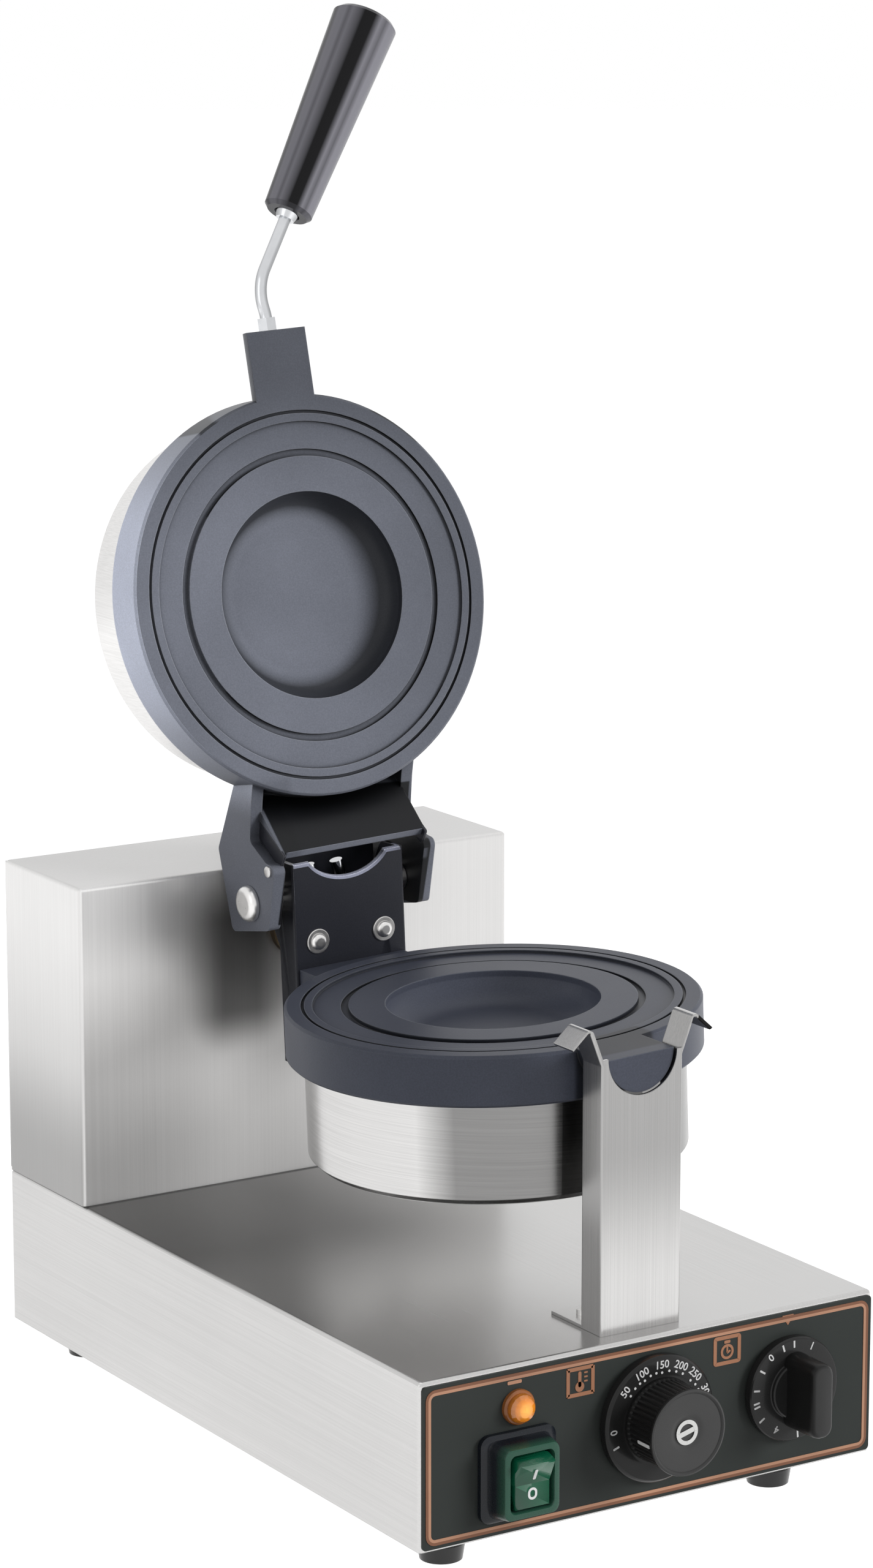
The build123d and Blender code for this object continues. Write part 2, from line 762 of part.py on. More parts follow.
# Front post: folded channel with a round notch, flared ears and rolled lips, on a foot plate
notch_radius = lug_radius + notch_clearance
wall_x = post_width / 2 - post_sheet / 2
flare_start_z = axis_z - ear_flare_start
ear_top = axis_z + ear_rise
lip_x = wall_x + ear_flare + lip_reach
with BuildPart() as front_post:
    with BuildSketch(Plane.XZ.offset(-post_front)):
        with Locations((0, base_top)):
            Rectangle(post_width, axis_z - base_top, align=(Align.CENTER, Align.MIN))
        with Locations((0, axis_z)):
            Circle(notch_radius, mode=Mode.SUBTRACT)
    extrude(amount=-post_sheet)
    for side in (-1, 1):
        with BuildSketch(Plane.XZ.offset(-post_front)):
            with BuildLine():
                path = FilletPolyline(
                    (side * wall_x, base_top),
                    (side * wall_x, flare_start_z),
                    (side * (wall_x + ear_flare), ear_top),
                    (side * lip_x, ear_top - lip_drop),
                    radius=lip_bend,
                )
            trace(path, post_sheet)
        extrude(amount=-post_depth)
    foot_back = post_front + post_foot_length
    with BuildSketch(Plane.XY.offset(base_top)):
        with Locations((0, post_front + post_foot_length / 2)):
            Rectangle(post_width, post_foot_length)
        with Locations((-post_bolt_x, post_bolt_y), (post_bolt_x, post_bolt_y)):
            Circle(screw_radius + hole_clearance, mode=Mode.SUBTRACT)
    extrude(amount=post_sheet)
    fold_edges = front_post.edges().filter_by(Axis.Z).filter_by_position(
        Axis.Y, post_front - 0.1, post_front + 0.1
    )
    fillet(fold_edges.sort_by(Axis.X)[0], post_bend)
    fillet(
        front_post.edges().filter_by(Axis.Z)
        .filter_by_position(Axis.Y, post_front - 0.1, post_front + 0.1)
        .sort_by(Axis.X)[-1],
        post_bend,
    )
write(front_post, "front_post")

with BuildPart() as post_bolts:
    for bolt_x in (-post_bolt_x, post_bolt_x):
        bolt_seat = Plane(origin=(bolt_x, post_bolt_y, base_top + post_sheet))
        with BuildSketch(bolt_seat):
            Circle(screw_head_radius)
        extrude(amount=screw_head_height)
        with BuildSketch(bolt_seat):
            Circle(screw_radius)
        extrude(amount=-post_sheet - sheet - nut_height - 1.0)
        with BuildSketch(Plane(origin=(bolt_x, post_bolt_y, base_top - sheet))):
            RegularPolygon(nut_radius, 6)
        extrude(amount=-nut_height)
write(post_bolts, "post_bolts")


def casting_section(section_plane):
    """Half section of a cooking plate: stepped rings and a round cavity over a heater pocket."""
    lip_depth = annulus_depth + cavity_lip
    with BuildSketch(section_plane) as section:
        with BuildLine():
            floor = Line((0, cavity_depth), (cavity_floor_radius, cavity_depth))
            wall = TangentArc(floor @ 1, (cavity_radius, lip_depth), tangent=(1, 0))
            Polyline(
                wall @ 1,
                (cavity_radius, annulus_depth),
                (annulus_outer_radius, annulus_depth),
                (annulus_outer_radius, trench_depth),
                (band_inner_radius, trench_depth),
                (band_inner_radius, band_depth),
                (bead_inner_radius, band_depth),
                (bead_inner_radius, 0),
                (bead_outer_radius, 0),
                (bead_outer_radius, groove_depth),
                (rim_inner_radius, groove_depth),
                (rim_inner_radius, 0),
                (plate_radius - plate_edge, 0),
                (plate_radius, plate_edge),
                (plate_radius, plate_depth - plate_edge),
                (plate_radius - plate_edge, plate_depth),
                (pocket_outer_radius, plate_depth),
                (pocket_outer_radius, pocket_depth),
                (pocket_inner_radius, pocket_depth),
                (pocket_inner_radius, cavity_depth + casting_floor),
                (0, cavity_depth + casting_floor),
                floor @ 0,
            )
        make_face()
    return section.sketch


def make_heater(face_plane, name):
    """Tubular heating ring that lies against the roof of a plate's pocket."""
    ring_depth = pocket_depth + heater_radius + heater_gap
    with BuildPart() as heater:
        with BuildSketch(section_of(face_plane)) as ring:
            with Locations((heater_ring_radius, ring_depth)):
                Circle(heater_radius)
        revolve(axis=Axis(face_plane.origin, face_plane.z_dir))
    write_turned(heater, name)


def make_drum(face_plane, end_depth, name):
    """Sheet drum that stands on a plate's back, with a folded-in flange for its cover."""
    flange_depth = end_depth - drum_sheet
    with BuildPart() as drum:
        with BuildSketch(section_of(face_plane)):
            with BuildLine():
                Polyline(
                    (drum_radius, plate_depth),
                    (drum_radius, flange_depth - drum_fold),
                    (drum_radius - drum_fold, flange_depth),
                    (drum_radius - drum_flange, flange_depth),
                    (drum_radius - drum_flange, flange_depth - drum_sheet),
                    (drum_radius - drum_fold - drum_sheet / 2, flange_depth - drum_sheet),
                    (drum_radius - drum_sheet, flange_depth - drum_fold - drum_sheet / 2),
                    (drum_radius - drum_sheet, plate_depth),
                    close=True,
                )
            make_face()
        revolve(axis=Axis(face_plane.origin, face_plane.z_dir))
    write_turned(drum, name)


def make_cover(face_plane, end_depth, name):
    """Flat disc that closes a drum."""
    with BuildPart() as cover:
        with BuildSketch(face_plane.offset(end_depth - drum_sheet)):
            Circle(drum_radius - drum_fold - drum_cover_margin)
            Circle(stud_radius + hole_clearance, mode=Mode.SUBTRACT)
        extrude(amount=drum_sheet)
    write_turned(cover, name)


def make_stud(face_plane, end_depth, name):
    """Centre stud from the casting through the drum cover, with its nut."""
    with BuildPart() as stud:
        with BuildSketch(face_plane.offset(cavity_depth + casting_floor)):
            Circle(stud_radius)
        extrude(amount=end_depth + stud_nut_height - cavity_depth - casting_floor)
        with BuildSketch(face_plane.offset(end_depth)):
            RegularPolygon(stud_nut_radius, 6)
        extrude(amount=stud_nut_height)
        fillet(stud.edges().group_by(Axis(face_plane.origin, face_plane.z_dir))[-1], 1.0)
    write_turned(stud, name)


# Lower cooking plate: level pan with a half-round lug in front and a square lug behind
pan_face = pan_plane(0, 0, seam / 2)
lug_start = plate_radius - lug_root
rear_lug_start = plate_radius - 2 * lug_root
lug_screw_xs = (-lug_screw_spacing / 2, lug_screw_spacing / 2)
with BuildPart() as pan_plate:
    revolve(casting_section(section_of(pan_face)), axis=Axis(pan_face.origin, pan_face.z_dir))
    with BuildSketch(Plane.XZ.offset(-pan_y + pan_lug_reach)):
        with Locations((0, axis_z)):
            Circle(lug_radius)
        with Locations((0, axis_z - seam / 2)):
            Rectangle(4 * lug_radius, 2 * lug_radius, align=(Align.CENTER, Align.MIN), mode=Mode.SUBTRACT)
    extrude(amount=lug_start - pan_lug_reach)
    with BuildSketch(pan_plane(0, 0, rear_lug_drop)):
        with Locations((0, -(rear_lug_start + bracket_front - pan_y) / 2)):
            Rectangle(rear_lug_width, bracket_front - pan_y - rear_lug_start)
    extrude(amount=plate_depth - rear_lug_drop)
    with BuildSketch(Plane.XZ.offset(-bracket_front)):
        with Locations([(x, axis_z - lug_screw_drop) for x in lug_screw_xs]):
            Circle(bolt_radius + hole_clearance)
    extrude(amount=lug_screw_reach + 1.0, mode=Mode.SUBTRACT)
write_turned(pan_plate, "pan_plate")
make_heater(pan_face, "pan_heater")
make_drum(pan_face, pan_drum_depth, "pan_drum")
make_cover(pan_face, pan_drum_depth, "pan_cover")
make_stud(pan_face, pan_drum_depth, "pan_stud")

# Hinge bracket: folded sheet with a scooped top, a wire window and walls that carry the pins
bracket_top = axis_z + bracket_rise
bracket_bottom = axis_z - bracket_drop
scoop_radius = (scoop_width ** 2 / 4 + scoop_depth ** 2) / (2 * scoop_depth)
wall_back = bracket_front + bracket_wall_depth
bracket_bolt_places = [(side * bolt_spacing / 2, axis_z + bolt_rise) for side in (-1, 1)]
with BuildPart() as hinge_bracket:
    with BuildSketch(Plane.XZ.offset(-bracket_front)):
        with Locations((0, bracket_bottom)):
            Rectangle(bracket_width, bracket_top - bracket_bottom, align=(Align.CENTER, Align.MIN))
        with Locations((0, bracket_top - scoop_depth + scoop_radius)):
            Circle(scoop_radius, mode=Mode.SUBTRACT)
        with Locations((0, bracket_bottom)):
            SlotOverall(
                2 * bracket_window_height, bracket_window_width, rotation=90, mode=Mode.SUBTRACT
            )
        with Locations(bracket_bolt_places):
            Circle(bolt_radius + hole_clearance, mode=Mode.SUBTRACT)
        with Locations([(x, axis_z - lug_screw_drop) for x in lug_screw_xs]):
            Circle(bolt_radius + hole_clearance, mode=Mode.SUBTRACT)
    extrude(amount=-bracket_sheet)
    for wall_start in (-bracket_width / 2, bracket_width / 2 - bracket_sheet):
        with BuildSketch(Plane.YZ.offset(wall_start)):
            with BuildLine():
                Polyline(
                    (bracket_front, bracket_bottom),
                    (wall_back, bracket_bottom),
                    (wall_back, axis_z),
                    (hinge_y + hinge_boss_radius, hinge_z - hinge_boss_radius / 2),
                    (hinge_y + hinge_boss_radius, hinge_z + hinge_boss_radius / 2),
                    (hinge_y, bracket_top),
                    (bracket_front, bracket_top),
                    close=True,
                )
            make_face()
            with Locations((hinge_y, hinge_z)):
                Circle(hinge_pin_radius + hole_clearance, mode=Mode.SUBTRACT)
        extrude(amount=bracket_sheet)
    wall_corners = hinge_bracket.edges().filter_by(Axis.X).filter_by_position(
        Axis.Y, wall_back + 1.0, hinge_y + 2 * hinge_boss_radius
    )
    fillet(wall_corners, arm_corner)
    fillet(
        hinge_bracket.edges().filter_by(Axis.Z).filter_by_position(
            Axis.Y, bracket_front - 0.1, bracket_front + 0.1
        ).group_by(Axis.X)[0],
        bracket_sheet / 2,
    )
    fillet(
        hinge_bracket.edges().filter_by(Axis.Z).filter_by_position(
            Axis.Y, bracket_front - 0.1, bracket_front + 0.1
        ).group_by(Axis.X)[-1],
        bracket_sheet / 2,
    )
write_turned(hinge_bracket, "hinge_bracket")

# Turning shaft with its flange behind the bracket; the wires run through its bore
flange_back = bracket_back + flange_thickness
with BuildPart() as turning_shaft:
    with BuildSketch(Plane.XZ.offset(-bracket_back)):
        with Locations((0, axis_z)):
            Circle(flange_radius)
        with Locations(bracket_bolt_places):
            Circle(bolt_radius + hole_clearance, mode=Mode.SUBTRACT)
        with Locations([(x, axis_z - lug_screw_drop) for x in lug_screw_xs]):
            Circle(bolt_radius + hole_clearance, mode=Mode.SUBTRACT)
    extrude(amount=-flange_thickness)
    with BuildSketch(Plane.XZ.offset(-bracket_back)):
        with Locations((0, axis_z)):
            Circle(shaft_radius)
    extrude(amount=bracket_back - shaft_end)
    fillet(
        turning_shaft.edges().filter_by(GeomType.CIRCLE).filter_by_position(
            Axis.Y, flange_back - 0.1, flange_back + 0.1
        ).sort_by(SortBy.RADIUS)[-1],
        1.0,
    )
    with BuildSketch(Plane.XZ.offset(-flange_back)):
        with Locations((0, axis_z)):
            Circle(shaft_bore)
    extrude(amount=flange_back - shaft_end, mode=Mode.SUBTRACT)
    with BuildSketch(Plane.XY.offset(axis_z)):
        with Locations((0, flange_back + sleeve_radius + 2.0)):
            Circle(sleeve_radius + hole_clearance)
    extrude(amount=-shaft_radius - 1.0, mode=Mode.SUBTRACT)
write_turned(turning_shaft, "turning_shaft")

with BuildPart() as bracket_bolts:
    for bolt_spot in bracket_bolt_places:
        with BuildSketch(Plane.XZ.offset(-bracket_front)):
            with Locations(bolt_spot):
                Circle(dome_radius)
        extrude(amount=dome_height)
        fillet(
            bracket_bolts.faces().filter_by(Axis.Y).group_by(Axis.Y)[0].edges().group_by(Axis.X)[-1],
            dome_height * 0.8,
        )
        with BuildSketch(Plane.XZ.offset(-bracket_front)):
            with Locations(bolt_spot):
                Circle(bolt_radius)
        extrude(amount=-bracket_sheet - flange_thickness - nut_height - 1.0)
        with BuildSketch(Plane.XZ.offset(-flange_back)):
            with Locations(bolt_spot):
                RegularPolygon(nut_radius + 0.5, 6)
        extrude(amount=-nut_height)
write_turned(bracket_bolts, "bracket_bolts")

with BuildPart() as lug_screws:
    for screw_x in lug_screw_xs:
        with BuildSketch(Plane.XZ.offset(-flange_back)):
            with Locations((screw_x, axis_z - lug_screw_drop)):
                Circle(dome_radius)
        extrude(amount=-dome_height)
        with BuildSketch(Plane.XZ.offset(-flange_back)):
            with Locations((screw_x, axis_z - lug_screw_drop)):
                Circle(bolt_radius)
        extrude(amount=bracket_sheet + flange_thickness + lug_screw_reach)
write_turned(lug_screws, "lug_screws")

# Bearings: a flanged bush in the housing wall and a second one on a bridge inside the housing
bore_radius = shaft_radius + bearing_clearance
bush_radius = shaft_radius + bearing_wall
with BuildPart() as front_bearing:
    with BuildSketch(Plane.XZ.offset(-housing_front)):
        with Locations((0, axis_z)):
            Circle(bearing_flange_radius)
    extrude(amount=bearing_flange_thickness)
    with BuildSketch(Plane.XZ.offset(-housing_front)):
        with Locations((0, axis_z)):
            Circle(bush_radius)
    extrude(amount=-bearing_length)
    with BuildSketch(Plane.XZ.offset(-housing_front + bearing_flange_thickness)):
        with Locations((0, axis_z)):
            Circle(bore_radius)
    extrude(amount=-bearing_length - bearing_flange_thickness, mode=Mode.SUBTRACT)
write(front_bearing, "front_bearing")

with BuildPart() as bearing_bridge:
    with BuildSketch(Plane.XZ.offset(-bridge_y)):
        with Locations((0, base_top)):
            Rectangle(bridge_width, shaft_rise + bridge_rise, align=(Align.CENTER, Align.MIN))
        with Locations((0, axis_z)):
            Circle(bush_radius + hole_clearance, mode=Mode.SUBTRACT)
    extrude(amount=-bridge_sheet)
    with BuildSketch(Plane.XY.offset(base_top)):
        with Locations((0, bridge_y + bridge_sheet + bridge_foot / 2)):
            Rectangle(bridge_width, bridge_foot)
            Circle(wire_hole_radius, mode=Mode.SUBTRACT)
        with Locations(bridge_bolt_places):
            Circle(screw_radius + hole_clearance, mode=Mode.SUBTRACT)
    extrude(amount=bridge_sheet)
write(bearing_bridge, "bearing_bridge")

with BuildPart() as bridge_bolts:
    for bolt_x, bolt_y in bridge_bolt_places:
        with BuildSketch(Plane(origin=(bolt_x, bolt_y, base_top + bridge_sheet))):
            Circle(screw_head_radius)
        extrude(amount=screw_head_height)
        with BuildSketch(Plane(origin=(bolt_x, bolt_y, base_top + bridge_sheet))):
            Circle(screw_radius)
        extrude(amount=-bridge_sheet - sheet - nut_height)
        with BuildSketch(Plane(origin=(bolt_x, bolt_y, base_top - sheet))):
            RegularPolygon(nut_radius, 6)
        extrude(amount=-nut_height)
write(bridge_bolts, "bridge_bolts")

with BuildPart() as rear_bearing:
    with BuildSketch(Plane.XZ.offset(-bridge_y)):
        with Locations((0, axis_z)):
            Circle(bearing_flange_radius)
    extrude(amount=bearing_flange_thickness)
    with BuildSketch(Plane.XZ.offset(-bridge_y)):
        with Locations((0, axis_z)):
            Circle(bush_radius)
    extrude(amount=-bearing_length)
    with BuildSketch(Plane.XZ.offset(-bridge_y + bearing_flange_thickness)):
        with Locations((0, axis_z)):
            Circle(bore_radius)
    extrude(amount=-bearing_length - bearing_flange_thickness, mode=Mode.SUBTRACT)
write(rear_bearing, "rear_bearing")

collar_front = bridge_y + bearing_length + collar_gap
with BuildPart() as shaft_collar:
    with BuildSketch(Plane.XZ.offset(-collar_front)):
        with Locations((0, axis_z)):
            Circle(collar_radius)
            Circle(shaft_radius + hole_clearance, mode=Mode.SUBTRACT)
    extrude(amount=-collar_width)
write_turned(shaft_collar, "shaft_collar")

# Metal sleeves that guard the heater wires on the turning frame
sleeve_y = flange_back + sleeve_radius + 2.0
sleeve_z = axis_z - pan_sleeve_drop
drum_back = pan_y + drum_radius
with BuildPart() as pan_sleeve:
    with BuildLine() as sleeve_route:
        FilletPolyline(
            (0, drum_back, sleeve_z),
            (0, sleeve_y, sleeve_z),
            (0, sleeve_y, axis_z - shaft_bore),
            radius=sleeve_bend,
        )
    with BuildSketch(Plane(origin=(0, drum_back, sleeve_z), z_dir=(0, 1, 0))):
        Circle(sleeve_radius)
    sweep()
write_turned(pan_sleeve, "pan_sleeve")

lid_sleeve_y = flange_back + lid_sleeve_radius + hinge_spacer_gap
with BuildPart() as lid_sleeves:
    for side in (-1, 1):
        foot_x = side * lid_sleeve_spread / 2
        foot_z = axis_z + shaft_radius
        lean = radians(lid_sleeve_lean)
        with BuildSketch(Plane(origin=(foot_x, lid_sleeve_y, foot_z), z_dir=(-sin(lean), 0, cos(lean)))):
            Circle(lid_sleeve_radius)
        extrude(amount=lid_sleeve_rise)
write_turned(lid_sleeves, "lid_sleeves")

# Upper cooking plate: the same casting with its own lug, two hinge arms and the web between them
lid_face = lid_plane(0, 0, seam / 2)
arm_outer = arm_inner + arm_thickness
arm_root = plate_radius - arm_root_depth


def lid_side(across):
    """Upright plane across the lid: local x runs to the hinge, local y runs away from the food."""
    return Plane(
        origin=(across, lid_y, lid_z),
        x_dir=(0, open_cos, -open_sin),
        z_dir=(1, 0, 0),
    )


lug_face = lid_plane(0, -lid_lug_reach, 0)
lug_end = Plane(origin=lug_face.origin, x_dir=(1, 0, 0), z_dir=-lug_face.y_dir)
with BuildPart() as lid_plate:
    revolve(casting_section(section_of(lid_face)), axis=Axis(lid_face.origin, lid_face.z_dir))
    with BuildSketch(lug_end):
        Circle(lid_lug_radius)
        with Locations((0, seam / 2)):
            Rectangle(
                4 * lid_lug_radius,
                2 * lid_lug_radius,
                align=(Align.CENTER, Align.MAX),
                mode=Mode.SUBTRACT,
            )
    extrude(amount=lug_start - lid_lug_reach)
    with BuildSketch(lug_end):
        with Locations((0, rod_depth)):
            Circle(rod_radius + bearing_clearance)
    extrude(amount=-rod_root, mode=Mode.SUBTRACT)
    for arm_start in (-arm_outer, arm_inner):
        with BuildSketch(lid_side(arm_start)):
            with BuildLine():
                Polyline(
                    (arm_root, plate_edge + arm_skin),
                    (arm_root, plate_depth - arm_skin),
                    (hinge_setback - arm_shoulder, hinge_rise + arm_crown),
                    (hinge_setback + arm_heel, hinge_rise + arm_crown - arm_skin),
                    (hinge_setback + arm_heel, hinge_rise - arm_heel),
                    (hinge_setback - arm_toe, hinge_rise - arm_toe_drop),
                    (hinge_setback - arm_toe - arm_skin, hinge_rise - arm_toe_drop + arm_toe_height),
                    (hinge_setback - arm_shoulder - arm_skin, hinge_rise - arm_throat),
                    (plate_radius - arm_skin, hinge_rise - arm_neck),
                    close=True,
                )
            make_face()
        extrude(amount=arm_thickness)
    arm_edges = lid_plate.edges().filter_by(Axis.X).filter_by(
        lambda edge: edge.center().Z < lid_z - plate_radius
    )
    fillet(arm_edges, arm_corner)
    with BuildSketch(lid_side(-arm_inner - 1.0)):
        with BuildLine():
            Polyline(
                (plate_radius - web_root, plate_depth - web_thickness),
                (plate_radius - web_root / 2, plate_depth),
                (hinge_setback - web_gap, hinge_rise - arm_toe_drop + web_thickness),
                (hinge_setback - web_gap - web_thickness, hinge_rise - arm_toe_drop),
                close=True,
            )
        make_face()
    extrude(amount=2 * arm_inner + 2.0)
    with BuildSketch(lid_side(-arm_outer)):
        with Locations((hinge_setback, hinge_rise)):
            Circle(hinge_pin_radius + hinge_clearance)
    extrude(amount=2 * arm_outer, mode=Mode.SUBTRACT)
write_turned(lid_plate, "lid_plate")
make_heater(lid_face, "lid_heater")
make_drum(lid_face, lid_drum_depth, "lid_drum")
make_cover(lid_face, lid_drum_depth, "lid_cover")
make_stud(lid_face, lid_drum_depth, "lid_stud")

# Hinge pins with dome heads outside, nuts inside the bracket and spacers beside it
pin_start = bracket_width / 2 - bracket_sheet - hinge_nut_height - 1.0
for side, pin_name in ((-1, "hinge_pin_left"), (1, "hinge_pin_right")):
    pin_plane = Plane(origin=(0, hinge_y, hinge_z), x_dir=(0, 1, 0), z_dir=(side, 0, 0))
    head_start = arm_outer + hinge_spacer_gap
    with BuildPart() as hinge_pin:
        with BuildSketch(pin_plane.offset(pin_start)):
            Circle(hinge_pin_radius)
        extrude(amount=head_start - pin_start)
        with BuildSketch(pin_plane.offset(head_start)):
            Circle(hinge_head_radius)
        extrude(amount=hinge_head_height)
        fillet(
            hinge_pin.edges().filter_by(GeomType.CIRCLE).group_by(Axis((0, 0, 0), (side, 0, 0)))[-1],
            hinge_head_height * 0.8,
        )
    write_turned(hinge_pin, pin_name)

with BuildPart() as hinge_nuts:
    for side in (-1, 1):
        nut_plane = Plane(origin=(0, hinge_y, hinge_z), x_dir=(0, 1, 0), z_dir=(side, 0, 0))
        with BuildSketch(nut_plane.offset(bracket_width / 2 - bracket_sheet)):
            RegularPolygon(hinge_nut_radius, 6)
            Circle(hinge_pin_radius + hole_clearance, mode=Mode.SUBTRACT)
        extrude(amount=-hinge_nut_height)
write_turned(hinge_nuts, "hinge_nuts")

with BuildPart() as hinge_spacers:
    for side in (-1, 1):
        spacer_plane = Plane(origin=(0, hinge_y, hinge_z), x_dir=(0, 1, 0), z_dir=(side, 0, 0))
        with BuildSketch(spacer_plane.offset(bracket_width / 2)):
            Circle(hinge_spacer_radius)
            Circle(hinge_pin_radius + hole_clearance, mode=Mode.SUBTRACT)
        extrude(amount=arm_inner - bracket_width / 2 - hinge_spacer_gap)
write_turned(hinge_spacers, "hinge_spacers")

# Handle: bent rod screwed into the lid's lug, with a lock nut, a ferrule and a tapered grip
handle_plane = lid_plane(0, 0, rod_depth)
lean_sin = sin(radians(handle_lean))
lean_cos = cos(radians(handle_lean))
bend_y = -lid_lug_reach - rod_straight
rod_tip = grip_start + grip_bore_depth
with BuildPart() as handle_rod:
    with BuildLine(handle_plane) as rod_route:
        FilletPolyline(
            (0, -lid_lug_reach + rod_root),
            (0, -lid_lug_reach - rod_rise),
            (-rod_kick, bend_y),
            (lean_sin * rod_tip - rod_kick, bend_y - lean_cos * rod_tip),
            radius=rod_bend,
        )
    rod_foot = rod_route.line @ 0
    with BuildSketch(Plane(origin=rod_foot, z_dir=-handle_plane.y_dir)):
        Circle(rod_radius)
    sweep()
write_turned(handle_rod, "handle_rod")

nut_spot = lid_plane(0, -lid_lug_reach, rod_depth)
with BuildPart() as handle_nut:
    with BuildSketch(Plane(origin=nut_spot.origin, x_dir=(1, 0, 0), z_dir=-nut_spot.y_dir)):
        RegularPolygon(handle_nut_radius, 6)
        Circle(rod_radius + bearing_clearance, mode=Mode.SUBTRACT)
    extrude(amount=handle_nut_height)
write_turned(handle_nut, "handle_nut")

grip_spot = lid_plane(
    lean_sin * grip_start - rod_kick,
    bend_y - lean_cos * grip_start,
    rod_depth,
)
grip_axis = handle_plane.x_dir * lean_sin - handle_plane.y_dir * lean_cos
grip_side = handle_plane.z_dir
grip_section = Plane(
    origin=grip_spot.origin,
    x_dir=grip_side,
    z_dir=grip_side.cross(grip_axis),
)
shoulder_radius = grip_far_radius - grip_edge
crown_radius = (shoulder_radius ** 2 + grip_crown ** 2) / (2 * grip_crown)
crown_half = asin(shoulder_radius / crown_radius) / 2
with BuildPart() as handle_grip:
    with BuildSketch(grip_section):
        with BuildLine():
            Polyline(
                (0, 0),
                (grip_near_radius - grip_edge, 0),
                (grip_near_radius, grip_edge),
                (grip_far_radius, grip_length - grip_crown - grip_edge),
                (shoulder_radius, grip_length - grip_crown),
            )
            ThreePointArc(
                (shoulder_radius, grip_length - grip_crown),
                (
                    crown_radius * sin(crown_half),
                    grip_length - crown_radius * (1 - cos(crown_half)),
                ),
                (0, grip_length),
            )
            Line((0, grip_length), (0, 0))
        make_face()
    revolve(axis=Axis(grip_spot.origin, grip_axis))
    with BuildSketch(Plane(origin=grip_spot.origin, z_dir=grip_axis)):
        Circle(rod_radius + bearing_clearance)
    extrude(amount=grip_bore_depth + hinge_spacer_gap, mode=Mode.SUBTRACT)
    with BuildSketch(Plane(origin=grip_spot.origin, z_dir=grip_axis)):
        Circle(ferrule_radius + bearing_clearance)
    extrude(amount=ferrule_seat, mode=Mode.SUBTRACT)
write_turned(handle_grip, "handle_grip")

with BuildPart() as handle_ferrule:
    ferrule_plane = Plane(origin=grip_spot.origin + grip_axis * ferrule_seat, z_dir=-grip_axis)
    with BuildSketch(ferrule_plane):
        Circle(ferrule_radius)
    with BuildSketch(ferrule_plane.offset(ferrule_length)):
        Circle(ferrule_radius * 0.7)
    loft()
    with BuildSketch(ferrule_plane):
        Circle(rod_radius + bearing_clearance)
    extrude(amount=ferrule_length, mode=Mode.SUBTRACT)
write_turned(handle_ferrule, "handle_ferrule")
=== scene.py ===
"""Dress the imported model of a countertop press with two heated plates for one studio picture.

Sizes are in millimetres and angles in degrees where nothing else is said.
"""

import logging
import math
from dataclasses import dataclass
from enum import Enum
from typing import Callable

import bpy
from mathutils import Matrix, Vector


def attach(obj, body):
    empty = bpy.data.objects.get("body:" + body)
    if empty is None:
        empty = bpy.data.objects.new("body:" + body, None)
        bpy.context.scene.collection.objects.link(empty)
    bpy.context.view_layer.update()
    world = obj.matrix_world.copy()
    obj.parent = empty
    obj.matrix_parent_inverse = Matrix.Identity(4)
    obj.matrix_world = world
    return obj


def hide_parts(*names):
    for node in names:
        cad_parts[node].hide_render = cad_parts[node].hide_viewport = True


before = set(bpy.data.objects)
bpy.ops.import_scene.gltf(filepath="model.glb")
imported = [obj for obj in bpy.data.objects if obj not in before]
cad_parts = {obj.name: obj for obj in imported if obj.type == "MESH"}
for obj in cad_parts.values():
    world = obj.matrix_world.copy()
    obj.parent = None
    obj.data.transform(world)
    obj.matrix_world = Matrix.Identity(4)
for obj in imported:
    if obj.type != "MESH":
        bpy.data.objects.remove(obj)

log = logging.getLogger("countertop_press")

MM = 0.001
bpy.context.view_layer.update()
Colour = tuple[float, float, float, float]
Triple = tuple[float, float, float]
Spot = tuple[float, float]
Names = tuple[str, ...]
Profile = tuple[Spot, ...]
Rings = tuple[Triple, ...]
Socket = bpy.types.NodeSocket
Material = bpy.types.Material
Thing = bpy.types.Object

LEFT: Triple = (-1, 0, 0)
FRONT: Triple = (0, -1, 0)
UP: Triple = (0, 0, 1)

# The turn of the rounded normal over which edges grow lighter: worn paint and painted highlight.
EDGE_RANGE: Spot = (0.995, 0.8)
# Painted shade in inner corners: the ambient occlusion span that darkens, and the darkest factor.
CORNER_SHADE_RANGE: Spot = (0.45, 0.92)
CORNER_SHADE_FLOOR = 0.12


class Brushing(Enum):
    """Which way the brush lines run, as how much the pattern shrinks along X, Y and Z."""

    ALONG_X = (6, 1500, 1500)
    ALONG_Y = (1500, 6, 1500)
    ALONG_Z = (1500, 1500, 6)
    LEVEL = (12, 12, 1500)


class Mark(Enum):
    """What stands at one place of a dial's scale, where it is no number."""

    TICK = "tick"
    DOT = "dot"


@dataclass(frozen=True)
class PaintedLight:
    """A box of the object where painted light makes the faces turned one way darker or lighter, as painted shade,
    shadow, highlight and reflection.
    """

    centre: Triple
    half: Triple
    factor: float
    facing: Triple | None = None
    start: float = 0.5
    full: float = 0.95
    soft: float = 2.0


PaintedLights = tuple[PaintedLight, ...]


@dataclass(frozen=True)
class Print:
    """A flat plate or frame of the panel's print, with its place from the base's lower left corner."""

    x: float
    z: float
    width: float
    height: float
    corner: float
    line: float = 0.0
    steps: int = 4
    angle: float = 0.0


def grey(value: float) -> Colour:
    """Return a grey."""
    return (value, value, value, 1)


def shade(colour: Colour, factor: float) -> Colour:
    """Return a colour made lighter or darker."""
    return (colour[0] * factor, colour[1] * factor, colour[2] * factor, 1)


def shift(x: float = 0.0, y: float = 0.0, z: float = 0.0) -> Matrix:
    """Return a move."""
    return Matrix.Translation((x * MM, y * MM, z * MM))


def turn(degrees: float, axis: str = "Z") -> Matrix:
    """Return a turn round an axis."""
    return Matrix.Rotation(math.radians(degrees), 4, axis)


